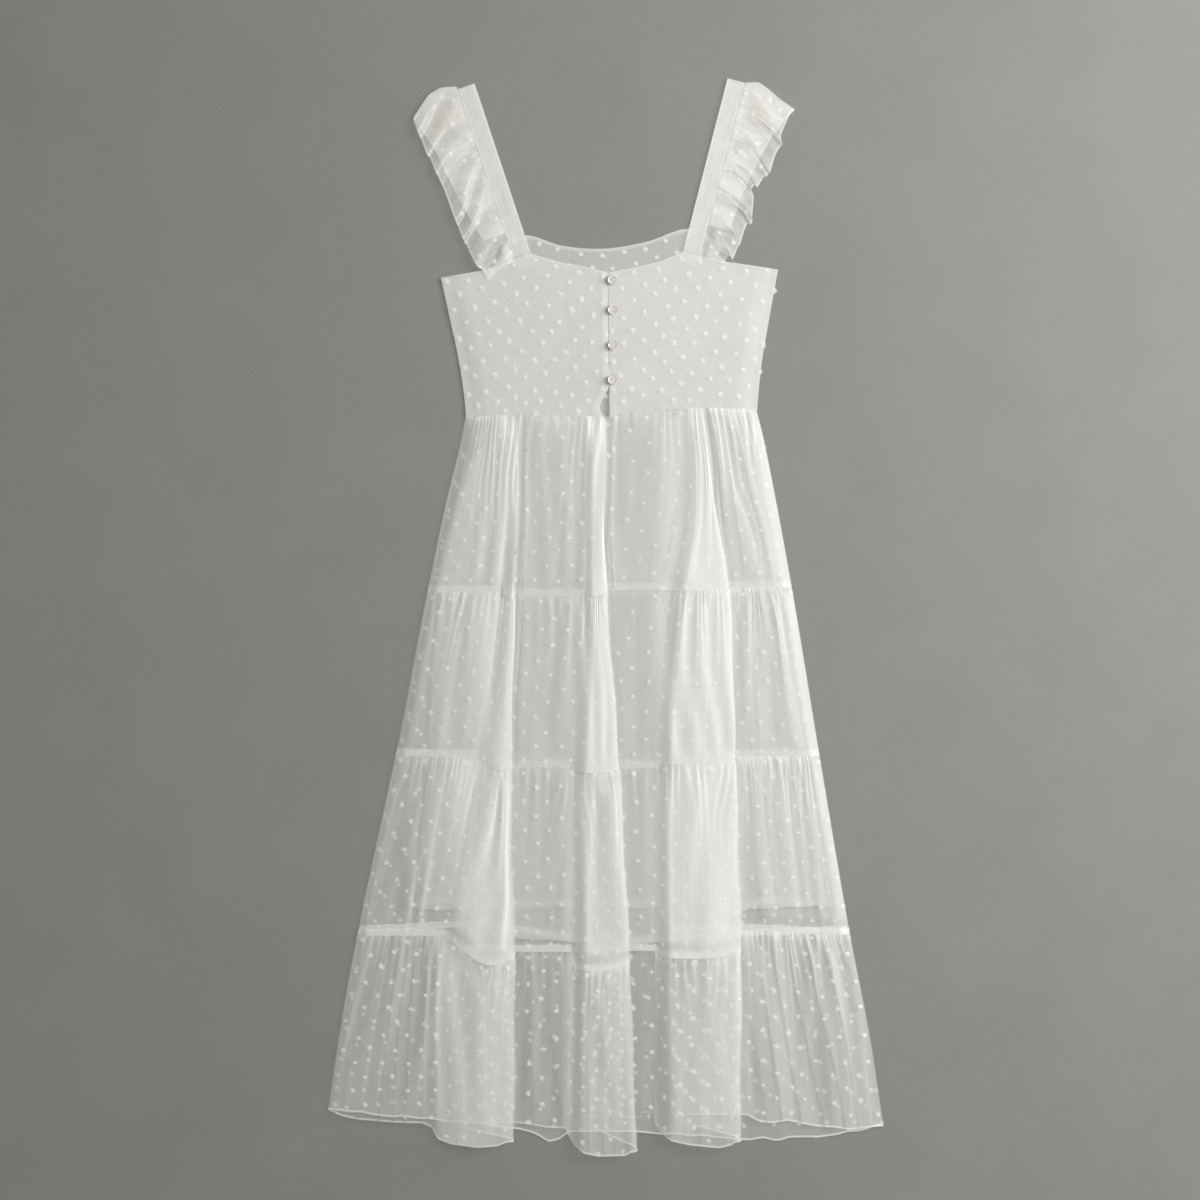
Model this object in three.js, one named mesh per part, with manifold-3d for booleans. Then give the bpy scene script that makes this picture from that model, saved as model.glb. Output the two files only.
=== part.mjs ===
// A sleeveless tiered midi dress with flutter straps, laid flat with its front up.
// Millimetres. +X is the wearer's left, +Y runs from hem to shoulders, +Z is up.
// The underside rests on the plane z = 0 and the origin is the middle of the outline.
import * as THREE from 'three';
import { mergeVertices } from 'three/addons/utils/BufferGeometryUtils.js';
import Module from 'manifold-3d';

// Cloth and seams.
const WALL = 1.2;
const DOUBLE_WALL = 2.2;
const LINING_WALL = 1.0;
const SEAM_GAP = 0.3;

// Undersides of the stacked layers above the resting plane.
const SIDE_LIFT = WALL + SEAM_GAP;
const GATHER_LIFT_AT_SEAM = 0.5;
const GATHER_LIFT_BACK = 1.8;
const LINING_LIFT = { atWaist: 2.0, below: 3.3 };
const LINING_STEP = LINING_WALL + SEAM_GAP;
const FRONT_LIFT = { atWaist: 4.6, lined: 5.9, atHem: 3.4 };
const SIDE_ROLL = 12;
const LINING_TOP_GAP = 1;
const BACK_INSET = 1;

// Gathers: they puff out just below a seam and die away down the tier.
const PUFF_DROP = 25;
const FADE_DROP = 90;
const GATHER_HEIGHTS = { seam: 0.5, puff: 2.6, fade: 1.4 };
const STEPS_PER_GATHER = 4;
const BACK_GATHERS = 12;

// Big lapped folds of the skirt front.
const RISE_WIDTH = 30;
const OVERLAP_FROM_HEIGHT = 3;
const OVERLAP_RAMP = 2;
const BEND_REACH = 8;
const SLOPE_REACH = 4;
const UNDER_END = 7;
const UNDER_STEPS = 2;
const RISE_STEPS = 3;
const RISE_SHARE = 0.35;
const ROLL_STEPS = 3;

const WAIST = [
  { x: -163, y: 234 }, { x: -128, y: 238 }, { x: 0, y: 238 }, { x: 60, y: 245 }, { x: 120, y: 247 },
  { x: 180, y: 245 },
];
const WAIST_Y = 238;

const BODICE_SIDES = [
  { y: 410, right: -195, left: 204.7 },
  { y: 351, right: -182, left: 194 },
  { y: 304, right: -172, left: 186 },
  { y: 257, right: -165, left: 181 },
  { y: 238, right: -163.4, left: 180 },
];

const SKIRT_SIDES = [
  { y: 246, right: -162, left: 179 },
  { y: 209, right: -169, left: 188 },
  { y: 139, right: -186, left: 202 },
  { y: 29, right: -209, left: 222 },
  { y: -165, right: -247, left: 254 },
  { y: -371, right: -291, left: 289 },
  { y: -499, right: -314, left: 314 },
  { y: -600, right: -329, left: 329 },
];

// Each fold rises softly at one side and ends in a sharp edge. There the cloth turns under and
// runs back beneath the fold for the length of its overlap, then returns to the next dip.
const FOLDS = {
  foldRight: [
    { y: 239, soft: -117, edge: -96, height: 2, overlap: 0 },
    { y: 27, soft: -123, edge: -103, height: 5, overlap: 10 },
    { y: -178, soft: -153, edge: -109, height: 8, overlap: 28 },
    { y: -392, soft: -194, edge: -105, height: 9, overlap: 62 },
    { y: -622, soft: -200, edge: -106, height: 10, overlap: 66 },
  ],
  foldMiddle: [
    { y: 239, soft: -25, edge: 3, height: 2, overlap: 0 },
    { y: 44, soft: -25, edge: 3, height: 5, overlap: 14 },
    { y: -158, soft: -39, edge: 17, height: 8, overlap: 36 },
    { y: -380, soft: -40, edge: 29, height: 9, overlap: 48 },
    { y: -630, soft: -45, edge: 38, height: 10, overlap: 60 },
  ],
  foldLeft: [
    { y: 246, soft: 100, edge: 118, height: 2, overlap: 0 },
    { y: 139, soft: 96, edge: 131, height: 4.5, overlap: 10 },
    { y: 20, soft: 74, edge: 148, height: 6.5, overlap: 42 },
    { y: -158, soft: 61, edge: 154, height: 8, overlap: 66 },
    { y: -382, soft: 59, edge: 161, height: 9, overlap: 74 },
    { y: -622, soft: 59, edge: 160, height: 10, overlap: 74 },
  ],
};

// How the cloth turns under at a fold's edge and turns again at the back of its overlap. reach
// counts from each end in parts of the bend, and lift in parts of the fold's height.
const TUCK_PATH = [
  { end: 'edge', reach: -1, lift: 1 }, { end: 'edge', reach: -0.25, lift: 0.96 },
  { end: 'edge', reach: 0, lift: 0.8 }, { end: 'edge', reach: -0.25, lift: 0.64 },
  { end: 'edge', reach: -1, lift: 0.6 }, { end: 'back', reach: 1, lift: 0.4 },
  { end: 'back', reach: 0.25, lift: 0.36 }, { end: 'back', reach: 0, lift: 0.2 },
  { end: 'back', reach: 0.25, lift: 0.04 }, { end: 'back', reach: 1, lift: 0 },
];

// Height of each seam of the skirt front, from the wearer's right side to the left.
const FRONT_SEAMS = [
  { at: 'waist' },
  { at: 'tiers 1 and 2', cornerRight: 31, right: 30, foldRight: 24, dipRight: 26, foldMiddle: 28,
    dipLeft: 33, foldLeft: 34, left: 35, cornerLeft: 36, sag: 2 },
  { at: 'tiers 2 and 3', cornerRight: -161, right: -163, foldRight: -177, dipRight: -176,
    foldMiddle: -179, dipLeft: -177, foldLeft: -169, left: -163, cornerLeft: -163, sag: 3 },
  { at: 'tiers 3 and 4', cornerRight: -373, right: -374, foldRight: -402, dipRight: -393,
    foldMiddle: -409, dipLeft: -392, foldLeft: -394, left: -368, cornerLeft: -373, sag: 6 },
  { at: 'hem', cornerRight: -581, right: -596, foldRight: -614, dipRight: -600,
    foldMiddle: -617, dipLeft: -582, foldLeft: -611, left: -587, cornerLeft: -601, sag: 11 },
];

const BACK_SEAMS = [
  { at: 'waist' },
  { at: 'tiers 1 and 2', levels: [31, 28, 27, 30, 36] },
  { at: 'tiers 2 and 3', levels: [-161, -165, -172, -167, -163] },
  { at: 'tiers 3 and 4', levels: [-371, -366, -384, -376, -371] },
  { at: 'hem', levels: [-579, -590, -613, -617, -599] },
];

// The lining is narrower than the skirt, most of all at the wearer's right.
const LINING_SIDES = [
  { y: 246, right: 14, left: 14 }, { y: 68, right: 14, left: 14 }, { y: -74, right: 26, left: 14 },
  { y: -156, right: 38, left: 14 }, { y: -215, right: 44, left: 14 }, { y: -335, right: 60, left: 14 },
];
const LINING_HEMS = {
  back: [-341, -343, -342, -341, -340],
  front: [-339, -343, -377, -381, -388, -381, -378, -374, -343, -339],
};

// Stretches of one front tier between its sides: what each is, and its whole gathers.
const STRETCHES = [
  { kind: 'rollIn', from: 'cornerRight', to: 'right', steps: ROLL_STEPS, gathers: 0 },
  { kind: 'flat', from: 'right', to: 'right', gathers: 4 },
  ...pleat('foldRight', 'right', 'dipRight'),
  { kind: 'flat', from: 'dipRight', to: 'dipRight', gathers: 2 },
  ...pleat('foldMiddle', 'dipRight', 'dipLeft'),
  { kind: 'flat', from: 'dipLeft', to: 'dipLeft', gathers: 1 },
  ...pleat('foldLeft', 'dipLeft', 'left'),
  { kind: 'flat', from: 'left', to: 'cornerLeft', gathers: 4 },
  { kind: 'rollOut', from: 'cornerLeft', to: 'cornerLeft', steps: ROLL_STEPS, gathers: 0 },
];

// The four stretches of one lapped fold between the levels of its two neighbours.
function pleat(fold, before, after) {
  return [
    { kind: 'rise', from: before, to: fold, fold, steps: RISE_STEPS, gathers: 0 },
    { kind: 'crest', from: fold, to: fold, fold, gathers: 2 },
    { kind: 'tuck', from: fold, to: after, fold, steps: TUCK_PATH.length - 1, gathers: 0 },
    { kind: 'under', from: after, to: after, fold, steps: UNDER_STEPS, gathers: 0 },
  ];
}

// Upper edges of the bodice panels.
const FRONT_TOP_RIGHT = [
  { x: -195, y: 400.6 }, { x: -183, y: 402.6 }, { x: -144.6, y: 408.9 }, { x: -124, y: 415.5 },
  { x: -106.6, y: 422.3 }, { x: -86.7, y: 428.9 }, { x: -52.5, y: 418.8 }, { x: -19.5, y: 412.9 },
  { x: 3.5, y: 406.5 },
];
const FRONT_TOP_LEFT = [
  { x: 4.2, y: 406.5 }, { x: 39.5, y: 413.6 }, { x: 66.2, y: 420.1 }, { x: 92.6, y: 431.3 },
  { x: 112.9, y: 426.1 }, { x: 130, y: 421 }, { x: 151.6, y: 418.3 }, { x: 192.7, y: 412 },
  { x: 204.7, y: 410.1 },
];
const BACK_TOP = [
  { x: -193.5, y: 400 }, { x: -150, y: 404 }, { x: -128, y: 416 }, { x: -113.9, y: 444.3 },
  { x: -94, y: 450.9 }, { x: -50, y: 438.7 }, { x: 0, y: 435.2 }, { x: 50, y: 443.4 },
  { x: 99.7, y: 458.9 }, { x: 120, y: 453.8 }, { x: 134, y: 428 }, { x: 156, y: 414 },
  { x: 203.5, y: 409.5 },
];
const FRONT_BODICE_LIFT = [
  { y: 430, lift: 2.9 }, { y: 405, lift: 2.9 }, { y: 360, lift: 3.9 }, { y: 300, lift: 4.0 },
  { y: 238, lift: 3.6 },
];
// Centre front edges: closed at the buttons, then a keyhole down to the waist.
const CENTRE_FRONT = [
  { y: 410, right: 3.5, left: 4.2 }, { y: 300, right: 4.9, left: 5.6 }, { y: 273, right: 5.2, left: 5.9 },
  { y: 246, right: -5.4, left: 6.2 }, { y: 238, right: -1.2, left: 6.2 },
];

// Shoulder straps and the ruffles on their outer edges. dir runs down the front of the strap.
const STRAP_WIDTH = 21;
const STRAP_MID_FRONT = 3.9;
const FOLD_STEPS = 5;
const STRAPS = {
  right: { innerTop: [-152.8, 628.4], dir: [0.3145, -0.949], out: [-0.949, -0.3145],
    frontLength: 210, backLength: 187 },
  left: { innerTop: [144.6, 634.3], dir: [-0.248, -0.9688], out: [0.9688, -0.248],
    frontLength: 209.5, backLength: 181 },
};
const RUFFLES = {
  right: {
    front: [
      { s: 0, width: 61, drop: 14 }, { s: 34, width: 59.5, drop: 14 }, { s: 70, width: 55, drop: 14 },
      { s: 110, width: 52, drop: 13 }, { s: 150, width: 50, drop: 13 }, { s: 186, width: 45, drop: 12 },
      { s: 209, width: 37, drop: 11 },
    ],
    back: [
      { s: 0, width: 61, drop: 14 }, { s: 40, width: 50, drop: 12 }, { s: 110, width: 40, drop: 8 },
      { s: 180, width: 28, drop: 0 },
    ],
  },
  left: {
    front: [
      { s: 0, width: 65, drop: 15 }, { s: 36, width: 57, drop: 14 }, { s: 46, width: 61, drop: 14 },
      { s: 66, width: 56, drop: 14 }, { s: 88, width: 53, drop: 14 }, { s: 108, width: 38, drop: 14 },
      { s: 124, width: 45, drop: 14 }, { s: 144, width: 49, drop: 13 }, { s: 160, width: 43, drop: 12 },
      { s: 188, width: 40, drop: 9 }, { s: 207, width: 30, drop: 0 },
    ],
    back: [
      { s: 0, width: 65, drop: 15 }, { s: 40, width: 48, drop: 12 }, { s: 110, width: 32, drop: 8 },
      { s: 174, width: 26, drop: 0 },
    ],
  },
};
const RUFFLE_WAVES_FRONT = 12;
const RUFFLE_WAVES_BACK = 6;
const RUFFLE_WAVE_HEIGHT = 5;
const RUFFLE_TIP_LIFT = 2.7;
const RUFFLE_SHARES = [0, 0.35, 1];

// Buttons on the left front panel, and the loops that hold them.
const BUTTON_RADIUS = 5.7;
const BUTTON_THICKNESS = 2.2;
const BUTTON_RISE = 1.9;
const BUTTON_HOLE_RADIUS = 0.7;
const BUTTON_HOLE_OFFSET = 1.3;
const STALK_RADIUS = 1.1;
const BUTTONS = [
  { x: 9.2, y: 397.5 }, { x: 9.6, y: 362.5 }, { x: 9.8, y: 320.8 }, { x: 9.4, y: 280 },
];
const LOOP_CORD = 0.5;
const LOOP_RADIUS = 2.2;
const LOOP_REACH = 8;
const REST_CLEARANCE = 0.4;

const COLOURS = {
  voile: { color: 0xf4f3f2, roughness: 0.85, metalness: 0 },
  lining: { color: 0xf7f6f5, roughness: 0.6, metalness: 0 },
  shell: { color: 0xf1ebe0, roughness: 0.25, metalness: 0 },
  cord: { color: 0xf2f0ee, roughness: 0.8, metalness: 0 },
};

const { lerp, clamp } = THREE.MathUtils;
const smooth = (t) => THREE.MathUtils.smoothstep(t, 0, 1);
const dress = new THREE.Group();

function addPiece(name, geometry, finish) {
  const mesh = new THREE.Mesh(geometry, new THREE.MeshStandardMaterial(COLOURS[finish]));
  mesh.name = name;
  dress.add(mesh);
}

// A smooth curve through one column of a table, read at a value of its key column.
function readTable(rows, key, column, value) {
  const sign = Math.sign(rows[rows.length - 1][key] - rows[0][key]);
  const keys = rows.map((row) => row[key] * sign);
  const at = clamp(value * sign, keys[0], keys[keys.length - 1]);
  let i = 0;
  while (i < rows.length - 2 && at > keys[i + 1]) i += 1;
  const slope = (a, b) => (rows[b][column] - rows[a][column]) / (keys[b] - keys[a]);
  const here = slope(i, i + 1);
  const before = i > 0 ? (slope(i - 1, i) + here) / 2 : here;
  const after = i < rows.length - 2 ? (slope(i + 1, i + 2) + here) / 2 : here;
  const span = keys[i + 1] - keys[i];
  const t = (at - keys[i]) / span;
  const rise = rows[i + 1][column] - rows[i][column];
  const bend = t * (1 - t) * ((before * span - rise) * (1 - t) - (after * span - rise) * t);
  return rows[i][column] + rise * t + bend;
}

const waistAt = (x) => readTable(WAIST, 'x', 'y', x);

const readLevels = (levels, share) =>
  readTable(levels.map((level, i) => ({ share: i / (levels.length - 1), level })), 'share', 'level', share);

// A closed wall of cloth: mid(row, column) gives its middle surface and out(row, column) the
// direction in which its thickness is laid off.
function clothWall(rows, columns, thickness, mid, out) {
  const sides = [thickness / 2, -thickness / 2];
  const points = [];
  for (const side of sides) {
    for (let r = 0; r <= rows; r += 1) {
      for (let c = 0; c <= columns; c += 1) {
        points.push(mid(r, c).clone().addScaledVector(out(r, c), side));
      }
    }
  }
  const layer = (rows + 1) * (columns + 1);
  const front = (r, c) => r * (columns + 1) + c;
  const behind = (r, c) => layer + front(r, c);
  const faces = [];
  const quad = (a, b, c, d) => faces.push(a, b, c, a, c, d);
  for (let r = 0; r < rows; r += 1) {
    for (let c = 0; c < columns; c += 1) {
      quad(front(r, c), front(r + 1, c), front(r + 1, c + 1), front(r, c + 1));
      quad(behind(r, c), behind(r, c + 1), behind(r + 1, c + 1), behind(r + 1, c));
    }
  }
  for (let c = 0; c < columns; c += 1) {
    quad(front(0, c), front(0, c + 1), behind(0, c + 1), behind(0, c));
    quad(front(rows, c), behind(rows, c), behind(rows, c + 1), front(rows, c + 1));
  }
  for (let r = 0; r < rows; r += 1) {
    quad(front(r + 1, 0), front(r, 0), behind(r, 0), behind(r + 1, 0));
    quad(front(r, columns), front(r + 1, columns), behind(r + 1, columns), behind(r, columns));
  }
  let volume = 0;
  for (let i = 0; i < faces.length; i += 3) {
    const [a, b, c] = [points[faces[i]], points[faces[i + 1]], points[faces[i + 2]]];
    volume += a.dot(b.clone().cross(c));
  }
  const geometry = new THREE.BufferGeometry().setFromPoints(points);
  geometry.setIndex(volume > 0 ? faces : faces.reverse());
  geometry.computeVertexNormals();
  return geometry;
}

const upwards = () => new THREE.Vector3(0, 0, 1);

// Across the section only, so that the edges of a tier stay square to its seams.
function acrossSection(mid, columns) {
  return (r, c) => {
    const a = mid(r, Math.max(c - 1, 0));
    const b = mid(r, Math.min(c + 1, columns));
    return new THREE.Vector3(a.z - b.z, 0, b.x - a.x).normalize();
  };
}

function acrossSurface(mid, rows, columns) {
  return (r, c) => {
    const along = mid(Math.min(r + 1, rows), c).sub(mid(Math.max(r - 1, 0), c));
    const across = mid(r, Math.min(c + 1, columns)).sub(mid(r, Math.max(c - 1, 0)));
    return along.cross(across).normalize();
  };
}

// Skirt -----------------------------------------------------------------------------------

function foldAt(name, y) {
  const rows = FOLDS[name];
  const soft = readTable(rows, 'y', 'soft', y);
  const edge = readTable(rows, 'y', 'edge', y);
  const height = readTable(rows, 'y', 'height', y);
  const tall = smooth((height - OVERLAP_FROM_HEIGHT) / OVERLAP_RAMP);
  const overlap = Math.max(0, readTable(rows, 'y', 'overlap', y));
  const reach = Math.min(BEND_REACH, overlap * 0.45);
  const rise = Math.min(RISE_WIDTH, 0.45 * (edge - soft));
  return { soft, edge, height, tall, overlap, reach, crest: soft + rise };
}

// One station of a fold's sharp side. A low fold has a plain slope there and a tall one laps.
function tuckPoint(fold, i) {
  const share = i / (TUCK_PATH.length - 1);
  const station = TUCK_PATH[i];
  const from = station.end === 'edge' ? fold.edge : fold.edge - fold.overlap;
  const slope = { x: fold.edge + SLOPE_REACH * (2 * share - 1), lift: 1 - smooth(share) };
  return {
    x: lerp(slope.x, from + station.reach * fold.reach, fold.tall),
    lift: fold.height * lerp(slope.lift, station.lift, fold.tall),
  };
}

// x of both ends of a stretch at height y.
function stretchEnds(index, y) {
  const stretch = STRETCHES[index];
  const right = readTable(SKIRT_SIDES, 'y', 'right', y);
  const left = readTable(SKIRT_SIDES, 'y', 'left', y);
  if (stretch.kind === 'rollIn') return [right, right + SIDE_ROLL];
  if (stretch.kind === 'rollOut') return [left - SIDE_ROLL, left];
  if (stretch.kind === 'flat') {
    const before = STRETCHES[index - 1];
    const after = STRETCHES[index + 1];
    return [
      before.kind === 'rollIn' ? right + SIDE_ROLL : foldAt(before.fold, y).edge + UNDER_END,
      after.kind === 'rollOut' ? left - SIDE_ROLL : foldAt(after.fold, y).soft,
    ];
  }
  const fold = foldAt(stretch.fold, y);
  if (stretch.kind === 'rise') return [fold.soft, fold.crest];
  if (stretch.kind === 'crest') return [fold.crest, tuckPoint(fold, 0).x];
  return [tuckPoint(fold, TUCK_PATH.length - 1).x, fold.edge + UNDER_END];
}

// Where a share of a stretch lies across the skirt, and how high its fold lifts it.
function foldPoint(index, s, y) {
  const stretch = STRETCHES[index];
  if (stretch.kind === 'tuck') {
    return tuckPoint(foldAt(stretch.fold, y), Math.round(s * (TUCK_PATH.length - 1)));
  }
  const [start, end] = stretchEnds(index, y);
  const x = lerp(start, end, s);
  if (stretch.kind === 'rise') return { x, lift: foldAt(stretch.fold, y).height * smooth(s) };
  if (stretch.kind === 'crest') return { x, lift: foldAt(stretch.fold, y).height };
  return { x, lift: 0 };
}

// Height of a seam at a share of a stretch: it drops at once where a fold begins, and sags
// between the fold's soft side and its edge.
function seamLevel(seam, stretch, s) {
  const { kind, from, to } = stretch;
  const level = lerp(seam[from], seam[to], smooth(kind === 'rise' ? Math.min(1, 2 * s) : s));
  if (kind !== 'rise' && kind !== 'crest') return level;
  const across = kind === 'rise' ? RISE_SHARE * s : lerp(RISE_SHARE, 1, s);
  return level - seam.sag * (1 - (2 * across - 1) ** 4);
}

function frontLift(tier, drop, y) {
  if (tier === 1) return lerp(FRONT_LIFT.atWaist, FRONT_LIFT.lined, Math.min(1, drop / PUFF_DROP));
  if (tier < 4) return FRONT_LIFT.lined;
  const hem = FRONT_SEAMS[4].right;
  const top = FRONT_SEAMS[3].right;
  return lerp(FRONT_LIFT.lined, FRONT_LIFT.atHem, clamp((y - top) / (hem - top), 0, 1));
}

function frontTier(tier) {
  const above = FRONT_SEAMS[tier - 1];
  const below = FRONT_SEAMS[tier];
  const stations = [];
  STRETCHES.forEach((stretch, index) => {
    const steps = stretch.steps ?? stretch.gathers * STEPS_PER_GATHER;
    for (let i = index === 0 ? 0 : 1; i <= steps; i += 1) stations.push({ index, s: i / steps });
  });
  const gap = SEAM_GAP / 2;
  const { seam: atSeam, puff, fade } = GATHER_HEIGHTS;
  const heights = [atSeam, puff, fade, atSeam];
  const mid = (r, c) => {
    const { index, s } = stations[c];
    const stretch = STRETCHES[index];
    const waist = foldPoint(index, s, WAIST_Y).x;
    const top = (tier === 1 ? waistAt(waist) : seamLevel(above, stretch, s)) - gap;
    const bottom = seamLevel(below, stretch, s) + (tier < 4 ? gap : 0);
    const drop = [0, PUFF_DROP, FADE_DROP, top - bottom][r];
    const y = top - drop;
    const { x, lift } = foldPoint(index, s, y);
    const roll = { rollIn: s, rollOut: 1 - s }[stretch.kind] ?? 1;
    const base = lerp(SIDE_LIFT, frontLift(tier, drop, y), smooth(roll));
    const gather = Math.floor(s * stretch.gathers);
    const uneven = r % 3 === 0 ? 1 : 0.7 + 0.3 * Math.sin(5.1 * (gather + 3 * index) + 2.3 * tier);
    const wave = Math.sin(Math.PI * stretch.gathers * s) ** 2 * uneven;
    const z = base + WALL / 2 + lift + heights[r] * wave;
    return new THREE.Vector3(x, y, z);
  };
  const columns = stations.length - 1;
  const out = acrossSection(mid, columns);
  addPiece(`skirt_front_tier_${tier}`, clothWall(3, columns, WALL, mid, out), 'voile');
}

function backTier(tier) {
  const columns = BACK_GATHERS * STEPS_PER_GATHER;
  const above = BACK_SEAMS[tier - 1].levels;
  const below = BACK_SEAMS[tier].levels;
  const gap = SEAM_GAP / 2;
  const mid = (r, c) => {
    const share = c / columns;
    const waist = lerp(sideX('right', WAIST_Y), sideX('left', WAIST_Y), share);
    const top = (tier === 1 ? waistAt(waist) : readLevels(above, share)) - gap;
    const bottom = readLevels(below, share) + (tier < 4 ? gap : 0);
    const y = [top, top - PUFF_DROP, bottom][r];
    const right = readTable(SKIRT_SIDES, 'y', 'right', y) + BACK_INSET;
    const left = readTable(SKIRT_SIDES, 'y', 'left', y) - BACK_INSET;
    const height = [GATHER_LIFT_AT_SEAM, GATHER_LIFT_BACK, GATHER_LIFT_AT_SEAM][r];
    const wave = Math.max(0, -Math.cos(2 * Math.PI * BACK_GATHERS * share));
    return new THREE.Vector3(lerp(right, left, share), y, WALL / 2 + height * wave);
  };
  addPiece(`skirt_back_tier_${tier}`, clothWall(2, columns, WALL, mid, upwards), 'voile');
}

function liningPanel(side, step) {
  const columns = 18;
  const rows = 5;
  const inset = (edge, y) => readTable(LINING_SIDES, 'y', edge, y);
  const mid = (r, c) => {
    const share = c / columns;
    const waistRight = sideX('right', WAIST_Y) + inset('right', WAIST_Y);
    const waistLeft = sideX('left', WAIST_Y) - inset('left', WAIST_Y);
    const top = waistAt(lerp(waistRight, waistLeft, share)) - LINING_TOP_GAP;
    const bottom = readLevels(LINING_HEMS[side], share);
    const y = r < 2 ? top - r * PUFF_DROP : lerp(top - PUFF_DROP, bottom, (r - 1) / (rows - 1));
    const right = readTable(SKIRT_SIDES, 'y', 'right', y) + inset('right', y);
    const left = readTable(SKIRT_SIDES, 'y', 'left', y) - inset('left', y);
    const lift = r === 0 ? LINING_LIFT.atWaist : LINING_LIFT.below;
    const z = lift + step * LINING_STEP + LINING_WALL / 2;
    return new THREE.Vector3(lerp(right, left, share), y, z);
  };
  addPiece(`lining_${side}`, clothWall(rows, columns, LINING_WALL, mid, upwards), 'lining');
}

// Bodice ----------------------------------------------------------------------------------

// Underside of a front bodice panel at distance inset from the side seam.
function bodiceLift(inset, y) {
  const middle = readTable(FRONT_BODICE_LIFT, 'y', 'lift', y);
  return lerp(SIDE_LIFT, middle, smooth(inset / SIDE_ROLL));
}

const sideX = (side, y) => readTable(BODICE_SIDES, 'y', side, y);

// Columns follow the corners of the upper edge, each split into the steps that its run needs.
function edgeStations(top, steps) {
  const stations = [top[0]];
  top.slice(1).forEach((corner, i) => {
    for (let k = 1; k <= steps[i]; k += 1) {
      const share = k / steps[i];
      stations.push({ x: lerp(top[i].x, corner.x, share), y: lerp(top[i].y, corner.y, share) });
    }
  });
  return stations;
}

function frontPanel(name, side, top, steps) {
  const stations = edgeStations(top, steps);
  const columns = stations.length - 1;
  const rows = 7;
  const first = top[0].x;
  const last = top[top.length - 1].x;
  const mid = (r, c) => {
    const share = (stations[c].x - first) / (last - first);
    const toSide = side === 'right' ? 1 - share : share;
    const middle = readTable(CENTRE_FRONT, 'y', side, WAIST_Y);
    const waist = waistAt(lerp(middle, sideX(side, WAIST_Y), toSide)) + SEAM_GAP / 2;
    const y = lerp(waist, stations[c].y, r / rows);
    const outer = sideX(side, y);
    const centre = readTable(CENTRE_FRONT, 'y', side, y);
    const x = lerp(centre, outer, toSide);
    const lift = bodiceLift(Math.abs(outer - x), y);
    return new THREE.Vector3(x, y, lift + DOUBLE_WALL / 2);
  };
  addPiece(name, clothWall(rows, columns, DOUBLE_WALL, mid, upwards), 'voile');
}

function backPanel() {
  const stations = edgeStations(BACK_TOP, [2, 1, 1, 1, 2, 2, 2, 2, 1, 1, 1, 2]);
  const columns = stations.length - 1;
  const rows = 5;
  const first = BACK_TOP[0].x;
  const last = BACK_TOP[BACK_TOP.length - 1].x;
  const mid = (r, c) => {
    const share = (stations[c].x - first) / (last - first);
    const waist = waistAt(lerp(sideX('right', WAIST_Y), sideX('left', WAIST_Y), share)) + SEAM_GAP / 2;
    const y = lerp(waist, stations[c].y, r / rows);
    const right = sideX('right', y) + BACK_INSET;
    const left = sideX('left', y) - BACK_INSET;
    return new THREE.Vector3(lerp(right, left, share), y, WALL / 2);
  };
  addPiece('bodice_back', clothWall(rows, columns, WALL, mid, upwards), 'voile');
}

// Straps and ruffles ----------------------------------------------------------------------

// A strip that lies on the front, turns over at the shoulder and lies on the back. run is its
// signed length from the fold line: front runs are positive and back runs negative.
const TURN_RADIUS = (STRAP_MID_FRONT - WALL / 2) / 2;

function strapPoint(side, across, run, turn) {
  const { innerTop, dir, out } = STRAPS[side];
  const lead = Math.abs(run) - TURN_RADIUS * Math.cos(turn);
  const x = innerTop[0] + out[0] * across + dir[0] * lead;
  const y = innerTop[1] + out[1] * across + dir[1] * lead;
  return new THREE.Vector3(x, y, STRAP_MID_FRONT - TURN_RADIUS * (1 - Math.sin(turn)));
}

// Steps along a folded strip: front end first, round the fold, and down to the back end.
function foldedRun(frontLength, frontSteps, backLength, backSteps) {
  const run = [];
  for (let i = frontSteps; i > 0; i -= 1) {
    run.push({ run: frontLength * i / frontSteps, turn: Math.PI / 2 });
  }
  for (let i = 0; i <= FOLD_STEPS; i += 1) {
    run.push({ run: 0, turn: Math.PI * (0.5 - i / FOLD_STEPS) });
  }
  for (let i = 1; i <= backSteps; i += 1) {
    run.push({ run: -backLength * i / backSteps, turn: -Math.PI / 2 });
  }
  return run;
}

function strap(side) {
  const { frontLength, backLength } = STRAPS[side];
  const steps = foldedRun(frontLength - SEAM_GAP, 5, backLength - SEAM_GAP, 4);
  const rows = steps.length - 1;
  const columns = 2;
  const mid = (r, c) => strapPoint(side, STRAP_WIDTH * c / columns, steps[r].run, steps[r].turn);
  const out = acrossSurface(mid, rows, columns);
  addPiece(`strap_${side}`, clothWall(rows, columns, WALL, mid, out), 'voile');
}

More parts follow.
